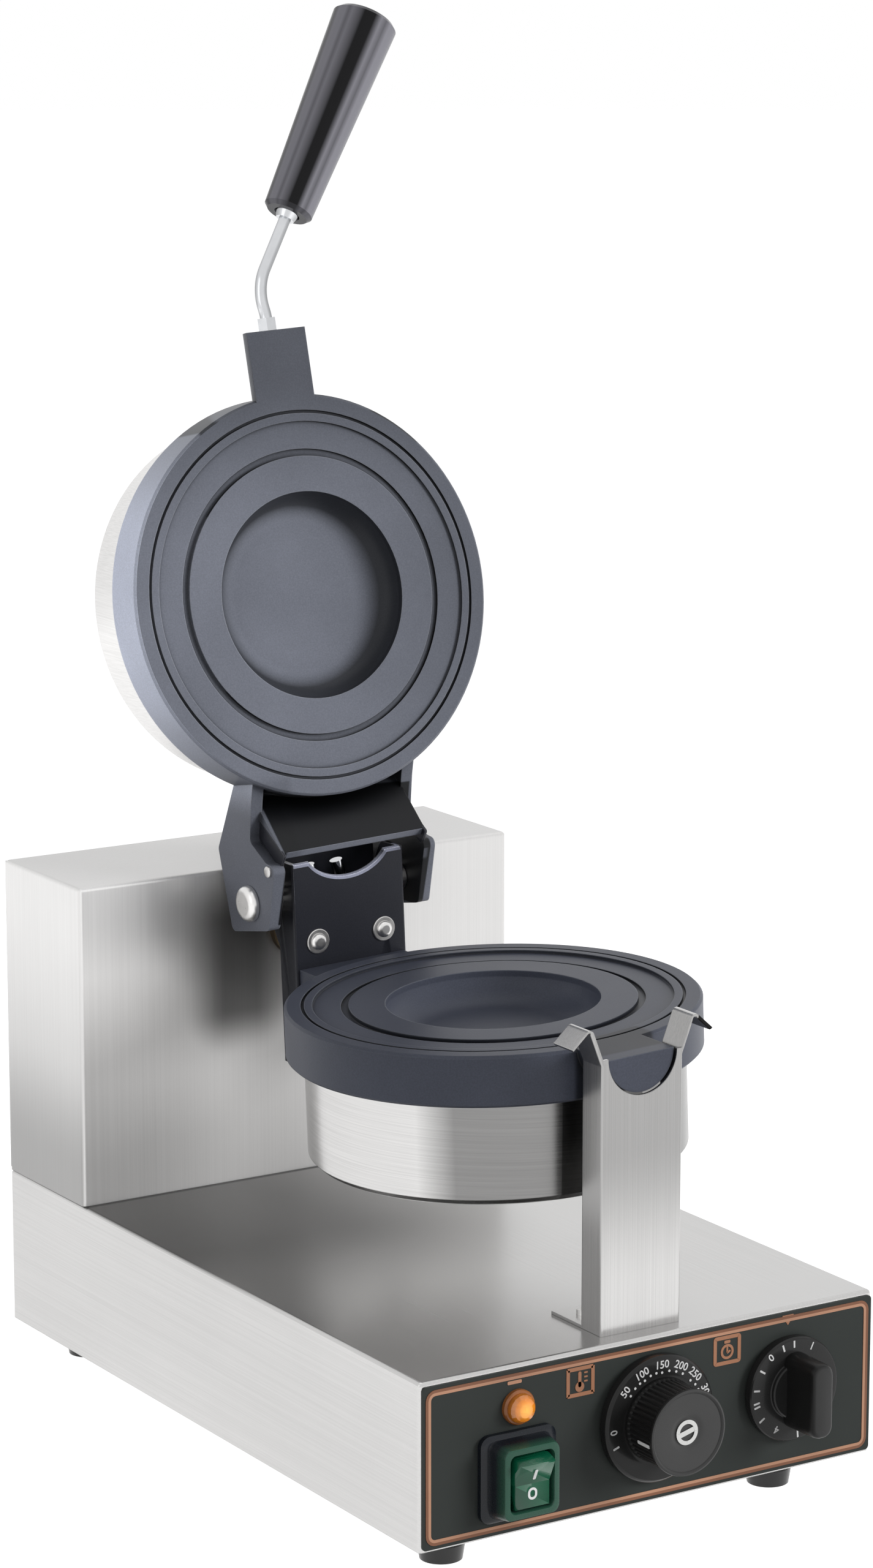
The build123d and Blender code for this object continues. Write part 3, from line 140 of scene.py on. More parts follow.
class Wiring:
    """A node tree with short calls for adding and joining nodes."""

    def __init__(self, tree: bpy.types.NodeTree) -> None:
        """Keep the tree."""
        self.tree = tree

    def feed(self, target: Socket, value: object) -> None:
        """Link an input to another node's output, or set it to a constant.

        Args:
            target: The input.
            value: The output or the constant.
        """
        if isinstance(value, Socket):
            self.tree.links.new(value, target)
        else:
            target.default_value = value

    def add(self, kind: str, feeds: dict[str | int, object] | None = None, **settings: object) -> bpy.types.Node:
        """Add a node.

        Args:
            kind: Its type name.
            feeds: What its inputs are linked or set to.
            settings: What its properties are set to.

        Returns:
            The new node.
        """
        node = self.tree.nodes.new(kind)
        for key, value in settings.items():
            setattr(node, key, value)
        for into, value in (feeds or {}).items():
            self.feed(node.inputs[into], value)
        return node

    def number(self, operation: str, *feeds: object) -> Socket:
        """Calculate with plain numbers."""
        return self.add("ShaderNodeMath", dict(enumerate(feeds)), operation=operation).outputs["Value"]

    def vector(self, operation: str, *feeds: object, out: str = "Vector") -> Socket:
        """Calculate with vectors; a length or a dot product is the Value output."""
        return self.add("ShaderNodeVectorMath", dict(enumerate(feeds)), operation=operation).outputs[out]

    def span(
        self, source: Socket, low: float, high: float, start: float = 0.0, end: float = 1.0, style: str = "LINEAR"
    ) -> Socket:
        """Map the range from start to end onto the range from low to high."""
        feeds = {"Value": source, "From Min": start, "From Max": end, "To Min": low, "To Max": high}
        return self.add("ShaderNodeMapRange", feeds, interpolation_type=style).outputs["Result"]

    def white_rays(self) -> Socket:
        """Tell camera, mirror and glass rays from those that light the object.

        Returns:
            A value of 1 for the first and of 0 for the others.
        """
        path = self.add("ShaderNodeLightPath").outputs
        seen = self.number("MAXIMUM", path["Is Camera Ray"], path["Is Glossy Ray"])
        return self.number("MAXIMUM", seen, path["Is Transmission Ray"])


class NodeSheet(Wiring):
    """A material's node tree round its surface shader."""

    def __init__(self, name: str, **values: object) -> None:
        """Make a material with a surface shader.

        Args:
            name: Its name.
            values: As in set.
        """
        self.material = bpy.data.materials.new(name)
        self.material.use_nodes = True
        super().__init__(self.material.node_tree)
        self.tree.nodes.clear()
        self.shader = self.add("ShaderNodeBsdfPrincipled")
        self.add("ShaderNodeOutputMaterial", {"Surface": self.shader.outputs["BSDF"]})
        self.set(**values)

    def set(self, **values: object) -> None:
        """Link or set the shader's inputs; an underscore in a name stands for a space."""
        for key, value in values.items():
            self.feed(self.shader.inputs[key.replace("_", " ")], value)

    def coordinates(self, scale: Triple = (1, 1, 1), move: Triple = (0, 0, 0), turned: Triple = (0, 0, 0)) -> Socket:
        """Give object coordinates through a mapping.

        Args:
            scale: How much the pattern is shrunk along each axis.
            move: The shift of the pattern in metres.
            turned: The angles in radians that turn the pattern.

        Returns:
            The mapped place.
        """
        place = self.add("ShaderNodeTexCoord").outputs["Object"]
        feeds = {"Vector": place, "Location": move, "Rotation": turned, "Scale": scale}
        return self.add("ShaderNodeMapping", feeds).outputs["Vector"]

    def noise(self, place: Socket, scale: float, detail: float = 3.0) -> Socket:
        """Give a noise with that many features to a metre and that many finer layers."""
        return self.add("ShaderNodeTexNoise", {"Vector": place, "Scale": scale, "Detail": detail}).outputs["Fac"]

    def ramp(self, source: Socket, *stops: tuple[float, Colour]) -> Socket:
        """Give the colour that stands at a value's place in a ramp.

        Args:
            source: The value.
            stops: The places and colours of the ramp.

        Returns:
            The colour.
        """
        node = self.add("ShaderNodeValToRGB", {"Fac": source})
        stripes = node.color_ramp.elements
        while len(stripes) < len(stops):
            stripes.new(0.5)
        for stripe, (spot, colour) in zip(stripes, stops):
            stripe.position = spot
            stripe.color = colour
        return node.outputs["Color"]

    def blend(self, source: Socket, low: Colour, high: Colour) -> Socket:
        """Blend two colours over the middle of a noise."""
        return self.ramp(source, (0.3, low), (0.7, high))

    def product(self, first: Socket, second: Socket) -> Socket:
        """Multiply two colours."""
        feeds = {0: 1, 6: first, 7: second}
        return self.add("ShaderNodeMix", feeds, data_type="RGBA", blend_type="MULTIPLY").outputs[2]

    def facing(self, way: Triple) -> Socket:
        """Give how far the surface faces one way."""
        normal = self.add("ShaderNodeTexCoord").outputs["Normal"]
        return self.vector("DOT_PRODUCT", normal, way, out="Value")

    def painted_light_factor(self, light_patch: PaintedLight) -> Socket:
        """Give how much a patch of painted light changes the colour at each place.

        Args:
            light_patch: The box, its facing and its factor.

        Returns:
            A value of 1 away from the painted light and of its factor within.
        """
        away = self.vector("ABSOLUTE", self.coordinates(move=tuple(-value * MM for value in light_patch.centre)))
        over = self.vector("SUBTRACT", away, tuple(value * MM for value in light_patch.half))
        distance = self.vector("LENGTH", self.vector("MAXIMUM", over), out="Value")
        inside = self.span(distance, 1, 0, 0, light_patch.soft * MM, "SMOOTHSTEP")
        if light_patch.facing is not None:
            toward = self.span(self.facing(light_patch.facing), 0, 1, light_patch.start, light_patch.full)
            inside = self.number("MULTIPLY", inside, toward)
        return self.span(inside, 1, light_patch.factor)

    def corner_shade_factor(self, reach: float) -> Socket:
        """Give 1 on open faces and less within reach of the piece's inner corners, as painted shade."""
        node = self.add("ShaderNodeAmbientOcclusion", {"Distance": reach * MM}, samples=8, only_local=True)
        return self.span(node.outputs["AO"], CORNER_SHADE_FLOOR, 1, *CORNER_SHADE_RANGE)

    def colour_from(self, source: Socket, painted_light: PaintedLights = (), corner_shade_reach: float = 0.0) -> None:
        """Use a colour, changed by painted light in boxes and by painted shade in inner corners, as the base colour.

        Args:
            source: The colour.
            painted_light: Where painted light makes the colour darker or lighter.
            corner_shade_reach: How far from an inner corner painted shade darkens it, or nothing.
        """
        for light_patch in painted_light:
            source = self.product(source, self.painted_light_factor(light_patch))
        if corner_shade_reach > 0:
            source = self.product(source, self.corner_shade_factor(corner_shade_reach))
        self.set(Base_Color=source)

    def rounded(self, radius: float) -> Socket:
        """Give the normal of the piece with its edges rounded by a radius in metres."""
        return self.add("ShaderNodeBevel", {"Radius": radius}, samples=4).outputs["Normal"]

    def edge(self, rounded: Socket) -> Socket:
        """Give a value that rises to 1 where the rounded normal leaves the true one."""
        true = self.add("ShaderNodeNewGeometry").outputs["Normal"]
        return self.span(self.vector("DOT_PRODUCT", rounded, true, out="Value"), 0, 1, *EDGE_RANGE)

    def bump(self, height: Socket, strength: float, depth: float, over: Socket | None = None) -> None:
        """Raise the surface by a texture.

        Args:
            height: The texture's value.
            strength: How strongly the relief shows.
            depth: The relief's height in metres.
            over: The rounded normal below the relief, if any.
        """
        feeds = {"Height": height, "Strength": strength, "Distance": depth}
        if over is not None:
            feeds["Normal"] = over
        self.set(Normal=self.add("ShaderNodeBump", feeds).outputs["Normal"])


@dataclass(frozen=True)
class BrushedSheet:
    """Stainless sheet with fine parallel brush lines, faint clouds and softened folds."""

    name: str
    brushing: Brushing
    tone: float
    roughness: float = 0.24
    lines: float = 0.06
    metal: float = 1.0
    painted_light: PaintedLights = ()

    def build(self) -> Material:
        """Return the material."""
        sheet = NodeSheet(self.name, Metallic=self.metal)
        lines = sheet.noise(sheet.coordinates(self.brushing.value), 1)
        clouds = sheet.noise(sheet.coordinates(), 9)
        steel = (self.tone, self.tone * 0.99, self.tone * 0.98, 1)
        fine = sheet.blend(lines, shade(steel, 1 - self.lines), shade(steel, 1 + self.lines))
        broad = sheet.blend(clouds, grey(0.95), grey(1))
        # Painted light: boxes that paint the steel darker or lighter as shade, highlight and reflection.
        sheet.colour_from(sheet.product(fine, broad), self.painted_light)
        sheet.set(Roughness=sheet.span(lines, self.roughness * 0.8, self.roughness * 1.25))
        sheet.bump(lines, 0.06, 0.00002, sheet.rounded(0.0006))
        return sheet.material


@dataclass(frozen=True)
class Coating:
    """Painted, coated, printed or moulded surface with a fine grain."""

    name: str
    colour: Colour
    roughness: float = 0.45
    shift: float = 0.1
    gloss_coat: float = 0.0
    specular: float = 0.3
    painted_light: PaintedLights = ()

    def build(self) -> Material:
        """Return the material."""
        sheet = NodeSheet(
            self.name, Coat_Weight=self.gloss_coat, Coat_Roughness=0.06, Specular_IOR_Level=self.specular
        )
        place = sheet.coordinates()
        fine = sheet.noise(place, 1800, 2)
        broad = sheet.noise(place, 18, 4)
        tint = sheet.blend(broad, shade(self.colour, 1 - self.shift), shade(self.colour, 1 + self.shift))
        # Painted light, where given: boxes that paint the surface lighter or darker.
        sheet.colour_from(tint, self.painted_light)
        sheet.set(Roughness=sheet.span(fine, self.roughness * 0.85, self.roughness * 1.15))
        sheet.bump(fine, 0.08, 0.00003)
        return sheet.material


@dataclass(frozen=True)
class WornAndHighlitPaint:
    """Dark paint on folded or cast metal, lighter along its edges, partly as worn paint and partly as a painted
    highlight, and with painted shade in its inner corners where a reach is given.
    """

    name: str
    colour: Colour
    rubbed_and_highlit: Colour
    roughness: float = 0.4
    corner_shade_reach: float = 0.0
    painted_light: PaintedLights = ()

    def build(self) -> Material:
        """Return the material."""
        sheet = NodeSheet(self.name, Specular_IOR_Level=0.2)
        place = sheet.coordinates()
        grain = sheet.noise(place, 1400, 2)
        cloud = sheet.noise(place, 20, 4)
        rounded = sheet.rounded(0.0009)
        # Lighter edges: partly worn paint, partly a painted highlight.
        wear_and_highlight = sheet.ramp(sheet.edge(rounded), (0, self.colour), (0.35, self.colour), (0.9, self.rubbed_and_highlit))
        fine = sheet.ramp(grain, (0.35, grey(0.9)), (0.72, grey(1.08)))
        broad = sheet.blend(cloud, grey(0.9), grey(1.05))
        sheet.colour_from(sheet.product(sheet.product(wear_and_highlight, fine), broad), self.painted_light, self.corner_shade_reach)
        sheet.set(Roughness=sheet.span(cloud, self.roughness * 0.85, self.roughness * 1.15))
        sheet.bump(grain, 0.1, 0.00004, rounded)
        return sheet.material


@dataclass(frozen=True)
class Polished:
    """Smooth plated metal with faint smears."""

    name: str
    colour: Colour
    roughness: float
    painted_light: PaintedLights = ()

    def build(self) -> Material:
        """Return the material."""
        sheet = NodeSheet(self.name, Metallic=1)
        smears = sheet.noise(sheet.coordinates(), 160)
        # Painted light, where given: boxes that paint the metal darker as reflection.
        sheet.colour_from(sheet.blend(smears, shade(self.colour, 0.94), self.colour), self.painted_light)
        sheet.set(Roughness=sheet.span(smears, self.roughness * 0.6, self.roughness * 1.5))
        sheet.bump(smears, 0.04, 0.00003)
        return sheet.material


@dataclass(frozen=True)
class ResinWithPaintedReflections:
    """Polished black moulding resin whose light and dark bands along a grip are painted reflections."""

    name: str
    foot: Vector
    axis: Vector
    first_reflection: float
    reflection_grey: Colour = (0.235, 0.232, 0.262, 1)
    painted_reflections: tuple[Spot, ...] = (
        (0, 0.12), (0.13, 0.12), (0.2, 0.9), (0.29, 1), (0.33, 0.62), (0.37, 0.9), (0.42, 0.55), (0.46, 0.3),
        (0.49, 0.03), (0.6, 0.03), (0.64, 0.45), (0.67, 0.85), (0.73, 0.48), (0.79, 0.95), (0.93, 0.85), (1, 0.5),
    )

    def build(self) -> Material:
        """Return the material."""
        sheet = NodeSheet(self.name, Specular_IOR_Level=0.1, Coat_Weight=0.05)
        upright = self.axis.rotation_difference(Vector(UP)).to_matrix()
        place = sheet.coordinates(move=tuple(-(upright @ self.foot)), turned=tuple(upright.to_euler()))
        split = sheet.add("ShaderNodeSeparateXYZ", {"Vector": place}).outputs
        onward = 2 * math.pi - math.radians(self.first_reflection)
        angle = sheet.number("ADD", sheet.number("ARCTAN2", split["Y"], split["X"]), onward)
        share = sheet.span(sheet.number("MODULO", angle, math.pi), 0, 1, 0, math.pi)
        # Painted reflections: bands of grey round the grip's axis, from the first one's angle onwards.
        tint = sheet.ramp(share, *((spot, shade(self.reflection_grey, light)) for spot, light in self.painted_reflections))
        cap = sheet.span(sheet.number("ABSOLUTE", sheet.facing(tuple(self.axis))), 0, 1, 0.6, 0.85)
        # The grip's ends take no painted reflections, only the grey darkened.
        whole = sheet.add("ShaderNodeMix", {0: cap, 6: tint, 7: shade(self.reflection_grey, 0.3)}, data_type="RGBA")
        sheet.colour_from(whole.outputs[2])
        sheet.set(Roughness=sheet.span(sheet.noise(place, 300, 2), 0.16, 0.26))
        return sheet.material


@dataclass(frozen=True)
class TintedLens:
    """Clear amber moulding that glows a little from inside, with a painted highlight at its centre and painted shade
    at its rim.
    """

    name: str
    centre: Vector
    reach: float = 0.0085
    deep: Colour = (0.66, 0.2, 0.012, 1)
    bright: Colour = (1, 0.46, 0.05, 1)

    def build(self) -> Material:
        """Return the material."""
        sheet = NodeSheet(self.name, Coat_Weight=0.8, Coat_Roughness=0.04, Roughness=0.22, Emission_Strength=0.22)
        place = sheet.coordinates(move=tuple(-self.centre))
        share = sheet.span(sheet.vector("LENGTH", place, out="Value"), 0, 1, 0, self.reach)
        # Painted highlight at the centre, amber further out and painted shade at the rim; the emission takes the same
        # colours.
        amber_and_painted_light = sheet.ramp(share, (0.22, self.bright), (0.55, self.deep), (0.95, shade(self.deep, 0.25)))
        sheet.set(Base_Color=amber_and_painted_light, Emission_Color=amber_and_painted_light)
        cells = sheet.add("ShaderNodeTexVoronoi", {"Vector": place, "Scale": 480})
        sheet.bump(cells.outputs["Distance"], 0.5, 0.0004)
        return sheet.material


@dataclass(frozen=True)
class SmokedBoot:
    """Dark moulded boot that turns translucent green towards its rim."""

    name: str
    panel_y: float
    rim_y: float
    dark: Colour = (0.008, 0.010, 0.014, 1)
    green: Colour = (0.020, 0.075, 0.048, 1)

    def build(self) -> Material:
        """Return the material."""
        sheet = NodeSheet(self.name, Coat_Weight=0.1, Coat_Roughness=0.08, Specular_IOR_Level=0.25)
        place = sheet.coordinates()
        split = sheet.add("ShaderNodeSeparateXYZ", {"Vector": place}).outputs
        share = sheet.span(split["Y"], 0, 1, self.panel_y, self.rim_y)
        sheet.set(Base_Color=sheet.ramp(share, (0.55, self.dark), (1, self.green)))
        sheet.set(Roughness=sheet.span(sheet.noise(place, 900, 2), 0.22, 0.34))
        return sheet.material


def pick(*things: Thing) -> None:
    """Leave edit mode and select only these objects, the first one as the active one.

    Args:
        things: The objects, or none.
    """
    if bpy.context.object is not None and bpy.context.object.mode != "OBJECT":
        leave()
    bpy.ops.object.select_all(action="DESELECT")
    for thing in reversed(things):
        thing.select_set(True)
        bpy.context.view_layer.objects.active = thing


def enter() -> None:
    """Be in edit mode with everything selected."""
    bpy.ops.object.mode_set(mode="EDIT")
    bpy.ops.mesh.select_all(action="SELECT")


def leave() -> None:
    """Leave edit mode."""
    bpy.ops.object.mode_set(mode="OBJECT")


def choose(thing: Thing, test: Callable[[Vector], bool]) -> None:
    """Enter edit mode with only some points selected.

    Args:
        thing: The piece.
        test: Tells from a point's place whether it is selected.
    """
    pick(thing)
    for part in (*thing.data.edges, *thing.data.polygons):
        part.select = False
    for point in thing.data.vertices:
        point.select = test(point.co)
    bpy.ops.object.mode_set(mode="EDIT")
    bpy.ops.mesh.select_mode(type="VERT")


def settle(thing: Thing, spot: Matrix) -> None:
    """Put a piece at its place and apply it, so that it stays at the origin.

    Args:
        thing: The piece.
        spot: Where it goes.
    """
    pick(thing)
    thing.matrix_world = spot
    bpy.ops.object.transform_apply()


def outward(thing: Thing, smooth: float = 35.0) -> None:
    """Merge doubles, point a piece's faces outwards and smooth the shallow edges.

    Args:
        thing: The piece.
        smooth: The widest angle that is still smooth.
    """
    pick(thing)
    enter()
    bpy.ops.mesh.remove_doubles(threshold=1e-6)
    bpy.ops.mesh.normals_make_consistent(inside=False)
    leave()
    bpy.ops.object.shade_smooth_by_angle(angle=math.radians(smooth))


def climb(rings: Rings) -> None:
    """Extrude and resize the selected face ring by ring and leave edit mode.

    Args:
        rings: Width, height and level of each ring; the first ring is the selected face.
    """
    for (width, height, level), (next_width, next_height, next_level) in zip(rings, rings[1:]):
        rise = (0, 0, (next_level - level) * MM)
        bpy.ops.mesh.extrude_region_move(TRANSFORM_OT_translate={"value": rise})
        growth = (next_width / width, next_height / height, 1)
        bpy.ops.transform.resize(value=growth, center_override=(0, 0, next_level * MM))
    leave()


def lathe(profile: Profile, sides: int) -> Thing:
    """Turn a profile round Z by extruding and widening a circle step by step.

    Args:
        profile: Radius and height of each ring, from the first end to the last.
        sides: How many sides the rings have.

    Returns:
        The closed piece, standing on the origin.
    """
    pick()
    radius, height = profile[0]
    start = (0, 0, height * MM)
    bpy.ops.mesh.primitive_circle_add(vertices=sides, radius=radius * MM, fill_type="NGON", location=start)
    piece = bpy.context.object
    bpy.ops.object.transform_apply()
    enter()
    climb(tuple((radius, radius, height) for radius, height in profile))
    return piece


def rectangle(width: float, height: float, level: float, corner: float, steps: int) -> Thing:
    """Begin a piece with a rounded rectangle and stay in edit mode with all of it selected.

    Args:
        width, height: Its size along X and Y.
        level: Its place along Z.
        corner, steps: The radius and the number of sides of each corner.

    Returns:
        The piece, centred on Z.
    """
    pick()
    bpy.ops.mesh.primitive_plane_add(size=1, location=(0, 0, level * MM))
    piece = bpy.context.object
    piece.scale = (width * MM, height * MM, 1)
    bpy.ops.object.transform_apply()
    enter()
    bpy.ops.mesh.bevel(offset=corner * MM, segments=steps, affect="VERTICES")
    enter()
    return piece


def plate(width: float, height: float, corner: float, thick: float, line: float = 0.0, steps: int = 4) -> Thing:
    """Make a flat plate or frame with rounded corners.

    Args:
        width, height, corner, steps: As for a rectangle.
        thick: Its thickness along Z.
        line: The width of a frame's line, or nothing for a full plate.

    Returns:
        The piece, centred on the origin and standing on it.
    """
    piece = rectangle(width, height, 0, corner, steps)
    if line > 0:
        bpy.ops.mesh.inset(thickness=line * MM)
        bpy.ops.mesh.delete(type="FACE")
        enter()
    bpy.ops.mesh.extrude_region_move(TRANSFORM_OT_translate={"value": (0, 0, thick * MM)})
    leave()
    return piece


def funnel(rings: Rings) -> Thing:
    """Extrude and resize a rounded rectangle step by step.

    Args:
        rings: Width, height and level of each ring, from the first end to the last.

    Returns:
        The closed piece, centred on the origin.
    """
    piece = rectangle(*rings[0], corner=5, steps=6)
    climb(rings)
    return piece


def words(text: str, size: float, thick: float) -> Thing:
    """Make raised characters for a scale.

    Args:
        text: The characters.
        size, thick: How large they are and how far they stand up.

    Returns:
        The characters as a mesh, centred on the origin.
    """
    pick()
    bpy.ops.object.text_add()
    letters = bpy.context.object.data
    letters.body = text
    letters.size = size * MM
    letters.extrude = thick * MM / 2
    letters.offset = 0.06 * MM
    letters.align_x = "CENTER"
    letters.align_y = "CENTER"
    letters.resolution_u = 3
    bpy.ops.object.convert(target="MESH")
    return bpy.context.object


def clone(thing: Thing, spot: Matrix) -> Thing:
    """Copy an object's mesh as a piece of its own.

    Args:
        thing: The object to copy.
        spot: Where the copy goes.

    Returns:
        The copy at its place.
    """
    piece = bpy.data.objects.new("piece", thing.data.copy())
    bpy.context.scene.collection.objects.link(piece)
    settle(piece, spot)
    return piece


def twin(node: str) -> Thing:
    """Copy a CAD node's mesh, with merged points, at the node's place.

    Args:
        node: The node's name.

    Returns:
        The piece.
    """
    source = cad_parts[node]
    piece = clone(source, source.matrix_world.copy())
    outward(piece)
    return piece


def join(things: list[Thing]) -> Thing:
    """Join pieces into one object with its faces outwards.

    Args:
        things: The pieces.

    Returns:
        The whole object.
    """
    pick(*things)
    bpy.ops.object.join()
    whole = bpy.context.object
    outward(whole, 30)
    return whole


def repeat(model: Thing, spots: list[Matrix]) -> Thing:
    """Join copies of a model piece into one object and remove the model.

    Args:
        model: The piece to copy.
        spots: Where the copies go.

    Returns:
        The whole object.
    """
    whole = join([clone(model, spot) for spot in spots])
    bpy.data.objects.remove(model, do_unlink=True)
    return whole


def hand_over(thing: Thing, name: str, body: str, material: Material, slot: str, *replaced: str) -> None:
    """Dress a finished piece and let it ride on its body.

    Args:
        thing: The finished piece, at its place.
        name: Its name.
        body: The body that it moves with.
        material: Its finish.
        slot: The record's material slot; not used.
        replaced: The nodes that it stands for.
    """
    thing.name = name
    thing.data.materials.clear()
    thing.data.materials.append(material)
    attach(thing, body)
    if replaced:
        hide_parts(*replaced)
    log.info("%s rides on %s", name, body)


def mount(
    thing: Thing, name: str, spot: Matrix, body: str, material: Material, slot: str, *replaced: str, smooth: float = 35
) -> None:
    """Put a piece at its place, smooth it and hand it over.

    Args:
        thing: The piece.
        spot: Where it goes.
        name, body, material, slot, replaced: As for hand_over.
        smooth: The widest angle that is still smooth.
    """
    settle(thing, spot)
    outward(thing, smooth)
    hand_over(thing, name, body, material, slot, *replaced)


@dataclass
class Studio:
    """White floor, soft boxes and the camera of the picture."""

    camera_spot: Triple = (-1.1212, -1.7727, 0.7403)
    turn_degrees: float = 32.32
    dip_degrees: float = 11.56
    lens: float = 102.98
    sky_light: float = 0.22
    floor_lift: float = 0.885

    def camera(self) -> None:
        """Set the camera at the picture's place and angle."""
        data = bpy.data.cameras.new("picture_camera")
        data.sensor_fit = "VERTICAL"
        data.sensor_height = 36
        data.lens = self.lens
        data.clip_end = 50
        camera = bpy.data.objects.new("picture_camera", data)
        angle = math.radians(self.turn_degrees)
        dip = math.radians(self.dip_degrees)
        look = Vector((math.sin(angle) * math.cos(dip), math.cos(angle) * math.cos(dip), -math.sin(dip)))
        camera.location = self.camera_spot
        camera.rotation_euler = look.to_track_quat("-Z", "Y").to_euler()
        bpy.context.scene.collection.objects.link(camera)
        bpy.context.scene.camera = camera

    def lamp(self, name: str, spot: Triple, size: Spot, power: float, mirrored: bool = False) -> None:
        """Add one rectangular soft box that faces the object.

        Args:
            name: The lamp's name.
            spot: Where it stands, in metres.
            size: Its width and height in metres.
            power: Its power in watts.
            mirrored: Whether shiny surfaces show it.
        """
        data = bpy.data.lights.new(name, "AREA")
        data.shape = "RECTANGLE"
        data.size, data.size_y = size
        data.energy = power
        lamp = bpy.data.objects.new(name, data)
        lamp.location = spot
        aim = Vector((0, 0, 0.3))
        lamp.rotation_euler = (aim - Vector(spot)).to_track_quat("-Z", "Y").to_euler()
        lamp.visible_glossy = mirrored
        bpy.context.scene.collection.objects.link(lamp)

    def lamps(self) -> None:
        """Add the soft boxes round the object, with the strongest low on the right."""
        self.lamp("key_box", (1.95, -2.16, 1.05), (1.2, 1.1), 72)
        self.lamp("fill_box", (-1.4, -2.3, 1.3), (1.6, 1.2), 17)
        self.lamp("back_box", (-1.6, 1.2, 0.6), (0.8, 0.8), 10)
        self.lamp("left_box", (-2.4, -0.6, 1.2), (1.6, 1.8), 5, mirrored=True)
        self.lamp("top_box", (0.2, 0.1, 2.6), (2, 2), 6, mirrored=True)

    def floor(self) -> None:
        """Lay the pale floor, which keeps the object's shadow."""
        pick()
        bpy.ops.mesh.primitive_circle_add(vertices=96, radius=12, fill_type="NGON")
        floor = bpy.context.object
        floor.name = "studio_floor"
        sheet = NodeSheet("pale_floor", Base_Color=grey(0.5), Roughness=0.9, Emission_Color=grey(1))
        sheet.set(Emission_Strength=sheet.span(sheet.white_rays(), 0, self.floor_lift))
        floor.data.materials.append(sheet.material)

    def sky(self) -> None:
        """Set the plain world light, white where it is seen."""
        world = bpy.data.worlds.new("studio_sky")
        world.use_nodes = True
        wiring = Wiring(world.node_tree)
        back = world.node_tree.nodes["Background"].inputs
        wiring.feed(back["Color"], grey(1))
        wiring.feed(back["Strength"], wiring.span(wiring.white_rays(), self.sky_light, 1))
        bpy.context.scene.world = world

    def build(self) -> None:
        """Set up the whole studio."""
        bpy.context.scene.view_settings.view_transform = "Standard"
        self.camera()
        self.lamps()
        self.floor()
        self.sky()
        log.info("studio set up")


@dataclass
class Cabinet:
    """Base, rear housing, feet and the screws that hold them."""

    shell: BrushedSheet = BrushedSheet(
        "base_brushed", Brushing.ALONG_Y, tone=0.585, lines=0.04,
        # Painted light on the base's top: a painted reflection darker towards the rear left, and a thin line of
        # painted shade where the housing stands.
        painted_light=(
            PaintedLight((-85, 90, 88), (45, 50, 20), 0.25, UP, soft=120),
            PaintedLight((0, 129, 88), (126, 1.6, 1.5), 0.1, UP, soft=1),
        ),
    )
    housing: BrushedSheet = BrushedSheet(
        "housing_brushed", Brushing.ALONG_Z, tone=0.69, roughness=0.34, metal=0.42, lines=0.03,
        # Painted light on the housing: its front lighter on the left where the lid shades it, a painted reflection of
        # the dark bracket there, its left side lighter above and darker low down, and its top lighter.
        painted_light=(
            PaintedLight((-100, 130, 190), (50, 20, 140), 1.36, FRONT, soft=50),
            PaintedLight((-34, 130, 200), (8, 20, 22), 0.22, FRONT, soft=26),
            PaintedLight((-40, 130, 226), (16, 20, 4), 0.55, FRONT, soft=36),
            PaintedLight((-125, 150, 260), (30, 120, 20), 1.38, LEFT, soft=120),
            PaintedLight((0, 170, 250), (130, 60, 6), 1.16, UP),
            PaintedLight((-125, 150, 95), (30, 120, 10), 0.64, LEFT, soft=60),
        ),
    )
    feet: Names = ("foot_front_left", "foot_front_right", "foot_rear_left", "foot_rear_right")
    plated: Names = ("foot_screws", "housing_screws", "bridge_bolts", "thermostat_body", "timer_body")

    def dress(self) -> None:
        """Give the cabinet's nodes their finishes."""
        paint(self.shell.build(), "base_shell", "base_plate")
        paint(self.housing.build(), "rear_housing", "rear_cover")
        paint(Coating("foot_rubber", grey(0.012), 0.3, gloss_coat=0.3).build(), *self.feet)
        paint(Polished("zinc_plate", (0.7, 0.7, 0.69, 1), 0.22).build(), *self.plated)
        paint(Coating("black_plastic", grey(0.018), 0.42).build(), "cable_gland")
        paint(Coating("terminal_white", grey(0.72), 0.4).build(), "terminal_block")


